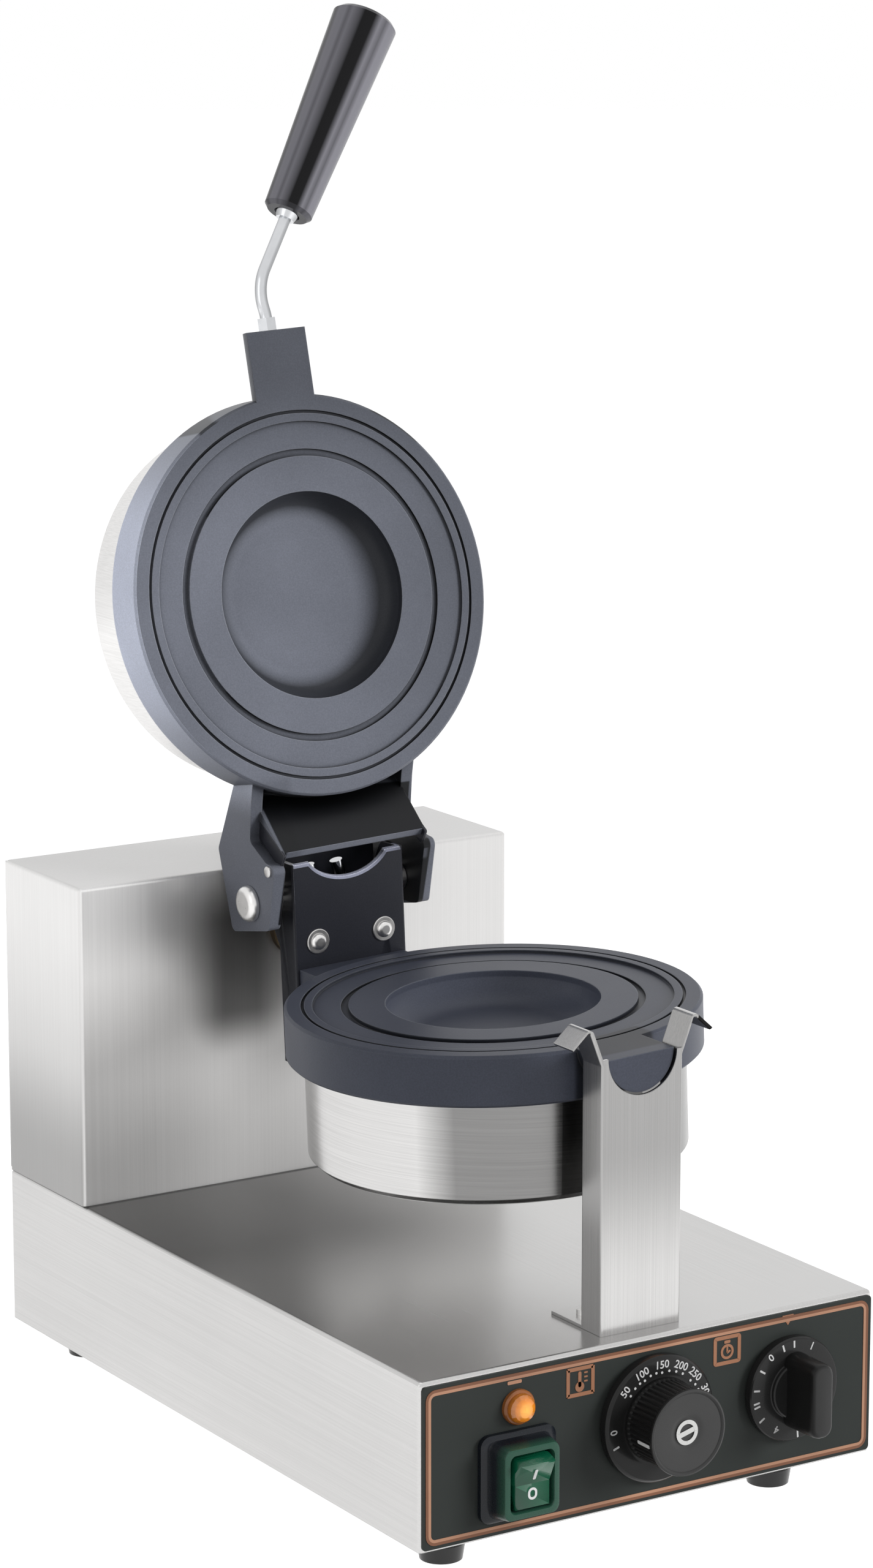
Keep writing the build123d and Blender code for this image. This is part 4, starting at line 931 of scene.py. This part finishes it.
@dataclass
class ControlPanel:
    """The dark panel with its printed marks, lamp, switch and dials."""

    left: float = -125.0
    bottom: float = 9.0
    face: float = -184.8
    lamp: Spot = (51, 59.4)
    switch: Spot = (50, 28.5)
    thermostat: Spot = (125, 41)
    timer: Spot = (201, 41)
    print_height: float = 0.25
    copper: Colour = (0.33, 0.155, 0.088, 1)
    pale_copper: Colour = (0.44, 0.235, 0.15, 1)
    deep_copper: Colour = (0.2, 0.088, 0.05, 1)
    heat_bulb: Spot = (84.4, 62.35)
    heat_and_time: tuple[Print, ...] = (
        Print(84.8, 64.85, 15.2, 14, 0.8, line=1.8),
        Print(84.4, 65.85, 1.7, 7.4, 0.8),
        *(Print(87.7, z, 1.9, 0.8, 0.2) for z in (64.65, 66.65, 68.65)),
        Print(166, 64.9, 15.4, 14, 1.6, line=1.8),
        Print(166, 64.1, 7.2, 7.2, 3.5, line=1.2, steps=8),
        Print(166, 65.1, 0.9, 2.8, 0.3),
        Print(166.8, 63.9, 0.9, 2.2, 0.3, angle=-60),
        Print(166, 68.8, 3.4, 1.4, 0.4),
    )
    dome: Profile = ((4.6, -6), (4.6, 2.4), (6.9, 2.4), (7, 3.2), (6.6, 4.8), (5.4, 6.4), (3.4, 7.4), (1.1, 7.7))
    flange: Profile = ((4.8, 0), (8.2, 0), (8.2, 1.8), (7.7, 2.6), (7.2, 2.7), (4.8, 2.7))
    boot: Rings = (
        (40, 41, 0), (40, 41, 2.6), (38.4, 39.4, 3.4), (33, 36.5, 3.6), (32, 35.5, 5), (29.5, 33.5, 12.8),
        (28.9, 32.9, 13.9), (27.6, 31.6, 14.2), (23.6, 27.6, 14.2), (22.6, 26.8, 13.4), (22.2, 26.4, 0.4),
    )
    thermostat_skirt: Profile = (
        (4, 0.7), (29.6, 0.7), (30, 1.1), (30, 5), (29.5, 5.7), (28.6, 6.4), (22.4, 6.6), (21.4, 6.2), (20.4, 6.2),
    )
    thermostat_grip: Profile = (
        (19.9, 5.4), (19.9, 8), (19.5, 9), (19.5, 24), (19.9, 26), (20.4, 27), (20.2, 27.7), (19.4, 28),
        (18.6, 27.6), (18.2, 27.2), (9.6, 27), (8.2, 26.7), (7.2, 26.2), (6.4, 26),
    )
    timer_skirt: Profile = (
        (4, 0.6), (24.6, 0.6), (25, 1), (25, 4.6), (24.5, 5.3), (23.6, 5.6), (14, 5.6), (13.5, 5.9), (13.5, 7.4),
        (12.9, 8), (6, 8),
    )
    timer_grip: Rings = (
        (12.5, 36, 5.4), (12.5, 36, 8), (11.9, 35.4, 24.4), (11.3, 34.8, 26.4), (10, 33.4, 27.5), (8.2, 31.4, 27.9),
    )

    def spot(self, x: float, z: float, proud: float = 0.0, angle: float = 0.0) -> Matrix:
        """Return a place on the panel as a matrix whose Z points out of the panel.

        Args:
            x: Distance from the base's left edge.
            z: Distance from the base's bottom.
            proud: Distance in front of the panel.
            angle: Its turn, anticlockwise as seen from the front.

        Returns:
            The place.
        """
        return shift(self.left + x, self.face - proud, self.bottom + z) @ turn(90, "X") @ turn(angle)

    def printed(self, mark: Print) -> Thing:
        """Make one flat part of the print.

        Args:
            mark: Its place and size.

        Returns:
            The part at its place.
        """
        piece = plate(mark.width, mark.height, mark.corner, self.print_height, mark.line, mark.steps)
        settle(piece, self.spot(mark.x, mark.z, angle=mark.angle))
        return piece

    def arrow(self) -> Thing:
        """Make the small triangle over the timer, which points down.

        Returns:
            The triangle.
        """
        width, height = 6.8, 5
        pick()
        bpy.ops.mesh.primitive_circle_add(vertices=3, radius=1, fill_type="NGON")
        piece = bpy.context.object
        enter()
        bpy.ops.mesh.bevel(offset=0.12, segments=2, affect="VERTICES")
        enter()
        bpy.ops.mesh.extrude_region_move(TRANSFORM_OT_translate={"value": UP})
        leave()
        shape = Matrix.Diagonal((width * MM / 1.73, height * MM / 1.5, self.print_height * MM, 1))
        settle(piece, self.spot(200.5, 73.9, angle=180) @ shape)
        return piece

    def symbols(self) -> None:
        """Lay the copper symbols of heat and time, the pointer and the lamp's mark."""
        bulb = lathe(((2.4, 0), (2.4, self.print_height)), 24)
        settle(bulb, self.spot(*self.heat_bulb))
        parts = [*(self.printed(mark) for mark in self.heat_and_time), bulb, self.arrow()]
        line = Coating("copper_ink", self.copper, 0.4).build()
        hand_over(join(parts), "panel_symbols", "base", line, "copper_line")
        bar = plate(7.5, 1.6, 0.5, self.print_height)
        pale = Coating("pale_ink", self.pale_copper, 0.4).build()
        mount(bar, "lamp_mark", self.spot(49.4, 71), "base", pale, "copper_line")

    def border(self) -> None:
        """Make the border as a dark outer line and a pale inner one."""
        width, height, corner, rise, line = 244.6, 72.4, 5, 0.3, 1.35
        inks = (("border_outer", self.deep_copper, 0), ("border_inner", self.pale_copper, line))
        for name, colour, inward in inks:
            ring = plate(width - 2 * inward, height - 2 * inward, corner - inward, rise, line, 6)
            ink = Coating(name + "_ink", colour, 0.4, shift=0.2).build()
            mount(ring, name, self.spot(125, 38.9), "base", ink, "copper_line", "panel_border")

    def pilot_lamp(self) -> None:
        """Make the faceted amber dome and its flange."""
        x, z = self.lamp
        lens = TintedLens("amber_lens", self.spot(x, z, 5.5).to_translation()).build()
        mount(lathe(self.dome, 18), "lamp_dome", self.spot(x, z), "base", lens, "amber_lens", "lamp_lens", smooth=12)
        flange = lathe(self.flange, 48)
        bezel = Coating("amber_bezel", (0.3, 0.1, 0.025, 1), 0.3, gloss_coat=0.3).build()
        mount(flange, "lamp_flange", self.spot(x, z), "base", bezel, "amber_lens", "lamp_bezel", smooth=30)

    def rocker_switch(self) -> None:
        """Make the deep boot, the narrow rocker in it and the rocker's two marks."""
        x, z = self.switch
        smoked = SmokedBoot("smoked_boot", self.face * MM, (self.face - 14) * MM).build()
        boot = funnel(self.boot)
        mount(boot, "switch_boot", self.spot(x, z), "base", smoked, "switch_boot", "switch_housing", smooth=40)
        rocker = twin("switch_rocker")
        pivot = self.spot(x, z, 8)
        narrower = pivot @ Matrix.Diagonal((0.78, 0.72, 1, 1)) @ pivot.inverted()
        green = Coating("green_rocker", (0.004, 0.105, 0.050, 1), 0.22, gloss_coat=0.5, shift=0.18).build()
        mount(rocker, "green_rocker", narrower, "rocker", green, "green_plastic", "switch_rocker", smooth=30)
        ring = plate(4.8, 5.6, 2.3, self.print_height, 1.1, 8)
        settle(ring, self.spot(x, z - 5.4, 13.93))
        bar = plate(1.5, 5.6, 0.5, self.print_height)
        settle(bar, self.spot(x, z + 4.2, 16.2) @ turn(24.3, "X"))
        white = Coating("white_ink", grey(0.78), 0.4).build()
        hand_over(join([ring, bar]), "rocker_marks", "rocker", white, "white_plastic")

    def scale_marks(
        self, name: str, dial: Spot, proud: float, marks: list[tuple[float, float, Mark | str]], body: str
    ) -> None:
        """Lay ticks, dots and numbers round a dial's skirt.

        Args:
            name: The piece's name.
            dial: The dial's centre.
            proud: The height of the skirt's face over the panel.
            marks: Angle from the right, anticlockwise, radius, and the mark or the number.
            body: The body that the scale moves with.
        """
        models = {Mark.TICK: plate(3.4, 0.9, 0.2, 0.2), Mark.DOT: lathe(((0.62, 0), (0.62, 0.2)), 12)}
        parts = []
        for angle, radius, mark in marks:
            place = self.spot(*dial, proud, angle) @ shift(radius)
            if isinstance(mark, Mark):
                parts.append(clone(models[mark], place))
            else:
                parts.append(words(mark, 5.2, 0.2))
                settle(parts[-1], place @ shift(z=0.1) @ turn(-90))
        for model in models.values():
            bpy.data.objects.remove(model, do_unlink=True)
        white = Coating(name + "_ink", grey(0.62), 0.45).build()
        hand_over(join(parts), name, body, white, "white_plastic")

    def painted_knob_front(self, dial: Spot, factor: float) -> PaintedLight:
        """Return the painted light that makes a knob's front face lighter."""
        return PaintedLight((self.left + dial[0], self.face - 27, self.bottom + dial[1]), (24, 4, 24), factor, FRONT)

    def thermostat_knob(self) -> None:
        """Make the ribbed thermostat knob with its dished front."""
        spot = self.spot(*self.thermostat)
        gloss = Coating("knob_gloss", grey(0.018), 0.24, gloss_coat=0.1, shift=0.2, specular=0.15).build()
        # Painted light: the grip's front face lighter.
        front = self.painted_knob_front(self.thermostat, 6)
        satin = Coating("knob_satin", grey(0.009), 0.38, specular=0.15, painted_light=(front,)).build()
        skirt = lathe(self.thermostat_skirt, 96)
        mount(skirt, "thermostat_skirt", spot, "thermostat", gloss, "knob_plastic", "thermostat_knob", smooth=28)
        grip = lathe(self.thermostat_grip, 144)

        def in_flute(point: Vector) -> bool:
            """Tell whether a point of the grip lies in one of its flutes."""
            around = math.degrees(math.atan2(point.y, point.x)) % 7.5
            return 8.9 * MM < point.z < 24.5 * MM and (around < 1.2 or around > 6.3)

        choose(grip, in_flute)
        bpy.ops.transform.resize(value=(0.972, 0.972, 1), center_override=(0, 0, 0))
        leave()
        mount(grip, "thermostat_grip", spot, "thermostat", satin, "knob_plastic", "thermostat_knob", smooth=24)

    def thermostat_trim(self) -> None:
        """Make the slotted screw at the thermostat knob's centre and the white pointer on its side."""
        x, z = self.thermostat
        ring = plate(11.8, 11.8, 5.85, 0.6, 1.9, 8)
        settle(ring, self.spot(x, z, 26.1))
        slot = plate(8.4, 2.4, 0.4, 0.5)
        settle(slot, self.spot(x, z, 26.1, 15))
        steel = Polished("trim_screw", (0.55, 0.55, 0.54, 1), 0.25).build()
        hand_over(join([ring, slot]), "thermostat_trim", "thermostat", steel, "bright_steel")
        wall = self.spot(x, z) @ turn(192) @ shift(19.5, 0, 20) @ turn(90, "Y") @ turn(90)
        white = Coating("pointer_ink", grey(0.78), 0.4).build()
        pointer = plate(1.6, 9, 0.4, 0.3)
        mount(pointer, "thermostat_pointer", wall, "thermostat", white, "white_plastic", smooth=30)

    def timer_knob(self) -> None:
        """Make the timer's skirt with its hub and the tall bar grip."""
        spot = self.spot(*self.timer)
        skirt = lathe(self.timer_skirt, 96)
        gloss = Coating("timer_gloss", grey(0.020), 0.26, gloss_coat=0.1, shift=0.2, specular=0.15).build()
        mount(skirt, "timer_skirt", spot, "timer", gloss, "knob_plastic", "timer_knob", smooth=28)
        grip = funnel(self.timer_grip)
        # Painted light: the grip's front face lighter.
        front = self.painted_knob_front(self.timer, 3.5)
        satin = Coating("timer_satin", grey(0.010), 0.34, specular=0.15, painted_light=(front,)).build()
        mount(grip, "timer_grip", spot, "timer", satin, "knob_plastic", "timer_knob", smooth=40)

    def scales(self) -> None:
        """Lay the scales of both dials."""
        numbers = {183: "0", 140: "50", 115: "100", 90: "150", 66: "200", 45: "250", 20: "300"}
        heat = [(angle, 26, text) for angle, text in numbers.items()] + [(200, 26.4, Mark.TICK)]
        heat += [(angle, 22.9, Mark.DOT) for angle in (130, 122, 106, 98, 80, 70, 60, 36, 28)]
        heat += [(angle, 22.4, Mark.DOT) for angle in (140, 115, 90, 45)]
        self.scale_marks("heat_scale", self.thermostat, 6.55, heat, "thermostat")
        minutes = [(128, 22.4, "0"), (240, 20.4, "4"), (64, 21.4, "1")]
        minutes += [(angle, 22, Mark.TICK) for angle in (148, 108, 172, 188, 193, 212, 275, 92)]
        self.scale_marks("minute_scale", self.timer, 5.62, minutes, "timer")

    def dress(self) -> None:
        """Build and dress the whole panel."""
        overlay = Coating("panel_overlay", (0.033, 0.037, 0.035, 1), 0.4, shift=0.06, specular=0.1)
        paint(overlay.build(), "control_panel")
        self.border()
        self.symbols()
        self.pilot_lamp()
        self.rocker_switch()
        self.thermostat_knob()
        self.thermostat_trim()
        self.timer_knob()
        self.scales()


@dataclass
class TurningUnit:
    """Post, pan, hinge, lid and handle."""

    axis_z: float = 217.5
    rest_turn: float = -2.45
    bracket_top: float = 262.0
    grip_start: Triple = (4.9, 145.2, 572.5)
    grip_axis: Triple = (0.515, 0.165, 0.841)
    # The angle round the grip's axis where its painted reflections begin.
    first_reflection: float = 148.1
    fasteners: Names = (
        "bracket_bolts", "hinge_pin_left", "hinge_pin_right", "hinge_nuts", "hinge_spacers", "lug_screws",
        "post_bolts", "pan_stud", "lid_stud", "turning_shaft", "shaft_collar",
    )
    chromed: Names = ("handle_rod", "handle_nut", "handle_ferrule", "pan_sleeve", "lid_sleeves")
    washer: Profile = ((6.3, 0), (6.3, 0.6), (5.9, 0.9), (3, 0.9))
    small_screw: Profile = ((2.8, -0.5), (2.8, 0.9), (2.3, 1.4), (1.2, 1.6))

    def turned(self, spot: Matrix) -> Matrix:
        """Return a place on the level pan or lid after the pan's turn at rest."""
        return shift(z=self.axis_z) @ turn(self.rest_turn, "Y") @ shift(z=-self.axis_z) @ spot

    def bracket(self, dark: Material) -> None:
        """Make the hinge bracket with its wide, shallow scoop.

        Args:
            dark: Its finish.
        """
        piece = twin("hinge_bracket")
        rest = self.turned(Matrix.Identity(4))
        settle(piece, rest.inverted())
        top = self.bracket_top * MM
        # The points on the scoop's arc.
        choose(piece, lambda point: abs(point.x) < 18.7 * MM and point.z > top - 12 * MM and point.y < 81.4 * MM)
        bpy.ops.transform.resize(value=(1.17, 1, 0.85), center_override=(0, 0.080, top))
        bpy.ops.mesh.select_all(action="SELECT")
        bpy.ops.mesh.dissolve_limited(angle_limit=math.radians(0.5))
        leave()
        # The front edge of the bracket's top.
        choose(piece, lambda point: point.y < 78.75 * MM and point.z > top - 12 * MM)
        bpy.ops.mesh.bevel(offset=1.9 * MM, segments=2, affect="EDGES")
        leave()
        mount(piece, "scooped_bracket", rest, "pan", dark, "dark_sheet", "hinge_bracket", smooth=15)

    def hinge_shade_sheet_and_cheeks(self, dark: Material) -> None:
        """Make a dark sheet between the bracket's walls, which gives the gap past the web painted shade, and the
        cheeks that join the web to the arms.

        Args:
            dark: Their finish.
        """
        spot = self.turned(shift(0, 103.4, 241.2) @ turn(90, "X"))
        # A dark sheet where there is only shade: painted shade in the gap past the web.
        mount(plate(58.4, 38, 2, 1), "bracket_shade_sheet", spot, "pan", dark, "dark_sheet")
        lean = turn(90) @ turn(90, "X") @ turn(31.8)
        spots = [self.turned(shift(x, 85, 274) @ lean) for x in (-41.2, 40)]
        hand_over(repeat(plate(31, 9, 1, 1.2), spots), "web_cheeks", "lid", dark, "dark_sheet")

    def hinge_trim(self) -> None:
        """Lay washers under the bracket's bolts and small screws on the cheeks of bracket and yoke."""
        bright = Polished("trim_bright", (0.62, 0.61, 0.6, 1), 0.34).build()
        washer = lathe(self.washer, 40)
        spots = [self.turned(shift(x, 78.7, 221.4) @ turn(90, "X")) for x in (-19, 19)]
        hand_over(repeat(washer, spots), "bracket_washers", "pan", bright, "bright_steel")
        screws = (("bracket_screw", "pan", (-32, 90.3, 246.9)), ("yoke_screw", "lid", (-46.5, 76.2, 261.6)))
        for name, body, spot in screws:
            screw = lathe(self.small_screw, 24)
            mount(screw, name, self.turned(shift(*spot) @ turn(-90, "Y")), body, bright, "bright_steel")

    def castings_and_frame(self) -> None:
        """Give the two plates, the bracket and the bridge their dark coats."""
        # Painted light on the lid: a painted sheen on its left side, painted shade on the cavity's walls, on the web,
        # over the rim's top and lug, by the left arm and on the right part, and a painted highlight on the web's lower
        # edge.
        lid_painted_light = (
            PaintedLight((-88, 108, 404), (30, 60, 96), 4.2, (-1, 0, 0.1), start=0.35, soft=28),
            PaintedLight((0, 108, 400), (60, 60, 75), 0.22, (0, 0.98, -0.2), start=-0.99, full=-0.8),
            PaintedLight((0, 85, 262), (41.5, 60, 30), 0.05, soft=1),
            PaintedLight((0, 76, 267), (39.5, 10, 9), 24, (0, -0.83, -0.55), start=0.92, full=0.98),
            PaintedLight((0, 110, 530), (140, 60, 28), 0.5, soft=80),
            PaintedLight((-44, 90, 250), (9, 45, 50), 0.8, soft=6),
            PaintedLight((110, 108, 400), (18, 60, 110), 0.66, soft=110),
        )
        lid = WornAndHighlitPaint("lid_coat", (0.166, 0.177, 0.213, 1), (0.34, 0.355, 0.4, 1), corner_shade_reach=14, painted_light=lid_painted_light)
        paint(lid.build(), "lid_plate")
        # Painted shadow of the post on the pan. Both plates have one coat; the pan's copy is about three times darker
        # than the lid's, as painted shade.
        painted_post_shadow = PaintedLight((3, -149, 205), (20, 14, 30), 0.3, soft=3)
        pan = WornAndHighlitPaint("pan_coat_shaded", (0.058, 0.064, 0.086, 1), (0.17, 0.18, 0.21, 1), corner_shade_reach=7, painted_light=(painted_post_shadow,))
        paint(pan.build(), "pan_plate")
        # Painted highlight along the top edge and scoop of the bracket.
        painted_edge_highlight = PaintedLight((0, 80, 256), (40, 5, 14), 15, (0, -0.6, 0.8), start=0.64, full=0.84)
        black = (0.020, 0.021, 0.027, 1)
        dark = WornAndHighlitPaint("frame_black", black, (0.16, 0.16, 0.18, 1), roughness=0.34, painted_light=(painted_edge_highlight,)).build()
        paint(dark, "bearing_bridge")
        self.bracket(dark)
        self.hinge_shade_sheet_and_cheeks(dark)

    def sheet_metal(self) -> None:
        """Give the post, the drums and their covers their brushed finishes."""
        # Painted light on the post: its front darker above, its left side darker, and a painted shadow under the right
        # tab.
        post_painted_light = (
            PaintedLight((0, -160, 195), (60, 40, 18), 0.55, FRONT, soft=70),
            PaintedLight((0, -165, 150), (60, 40, 120), 0.6, LEFT),
            PaintedLight((36.2, -160, 226), (5.5, 30, 9), 0.05, soft=0.5),
        )
        # Painted reflection of the post's dark back on the drum: a dark box right at the post and a dark band over the
        # drum's front.
        drum_painted_light = (
            PaintedLight((3, -140, 150), (22, 12, 60), 0.4, soft=0.8),
            PaintedLight((0, -50, 150), (120, 120, 80), 0.38, (0.087, -0.996, 0), start=0.47, full=0.64),
        )
        post = BrushedSheet("post_brushed", Brushing.ALONG_Z, tone=0.57, roughness=0.22, painted_light=post_painted_light)
        paint(post.build(), "front_post")
        drum = BrushedSheet("drum_brushed", Brushing.LEVEL, tone=0.61, lines=0.08, painted_light=drum_painted_light)
        paint(drum.build(), "pan_drum", "pan_cover")
        # The lid's drum and cover take a lighter and a darker copy of the drum's steel, set to how light each looks:
        # painted light.
        paint(BrushedSheet("lid_drum_brushed", Brushing.ALONG_Y, tone=0.77).build(), "lid_drum")
        paint(BrushedSheet("lid_cover_brushed", Brushing.ALONG_X, tone=0.52).build(), "lid_cover")

    def dress(self) -> None:
        """Give the moving unit's nodes their finishes."""
        self.sheet_metal()
        self.castings_and_frame()
        self.hinge_trim()
        paint(Polished("bright_bolt", (0.8, 0.79, 0.78, 1), 0.3).build(), *self.fasteners)
        # Painted reflection: the handle's chrome darker on its faces that turn to the right front and to the left
        # back.
        painted_dark_sides = (
            PaintedLight((0, 150, 540), (200, 90, 200), 0.4, (0.845, -0.535, 0), start=0.45),
            PaintedLight((0, 150, 540), (200, 90, 200), 0.5, (-0.845, 0.535, 0), start=0.55),
        )
        paint(Polished("chrome_plate", (0.66, 0.67, 0.69, 1), 0.14, painted_dark_sides).build(), *self.chromed)
        paint(Polished("bush_bronze", (0.16, 0.12, 0.075, 1), 0.35).build(), "front_bearing", "rear_bearing")
        paint(Coating("heater_sheath", (0.1, 0.085, 0.07, 1)).build(), "pan_heater", "lid_heater")
        foot, axis = Vector(self.grip_start) * MM, Vector(self.grip_axis).normalized()
        paint(ResinWithPaintedReflections("resin_painted_reflections", foot, axis, self.first_reflection).build(), "handle_grip")


def paint(material: Material, *nodes: str) -> None:
    """Give CAD nodes their finish.

    Args:
        material: The finish.
        nodes: The nodes' names.
    """
    for node in nodes:
        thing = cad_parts[node]
        thing.data.materials.clear()
        thing.data.materials.append(material)
        log.info("%s dressed in %s", node, material.name)


def main() -> None:
    """Build the scene in order."""
    logging.basicConfig(level=logging.INFO)
    Studio().build()
    Cabinet().dress()
    ControlPanel().dress()
    TurningUnit().dress()


if __name__ == "__main__":
    main()
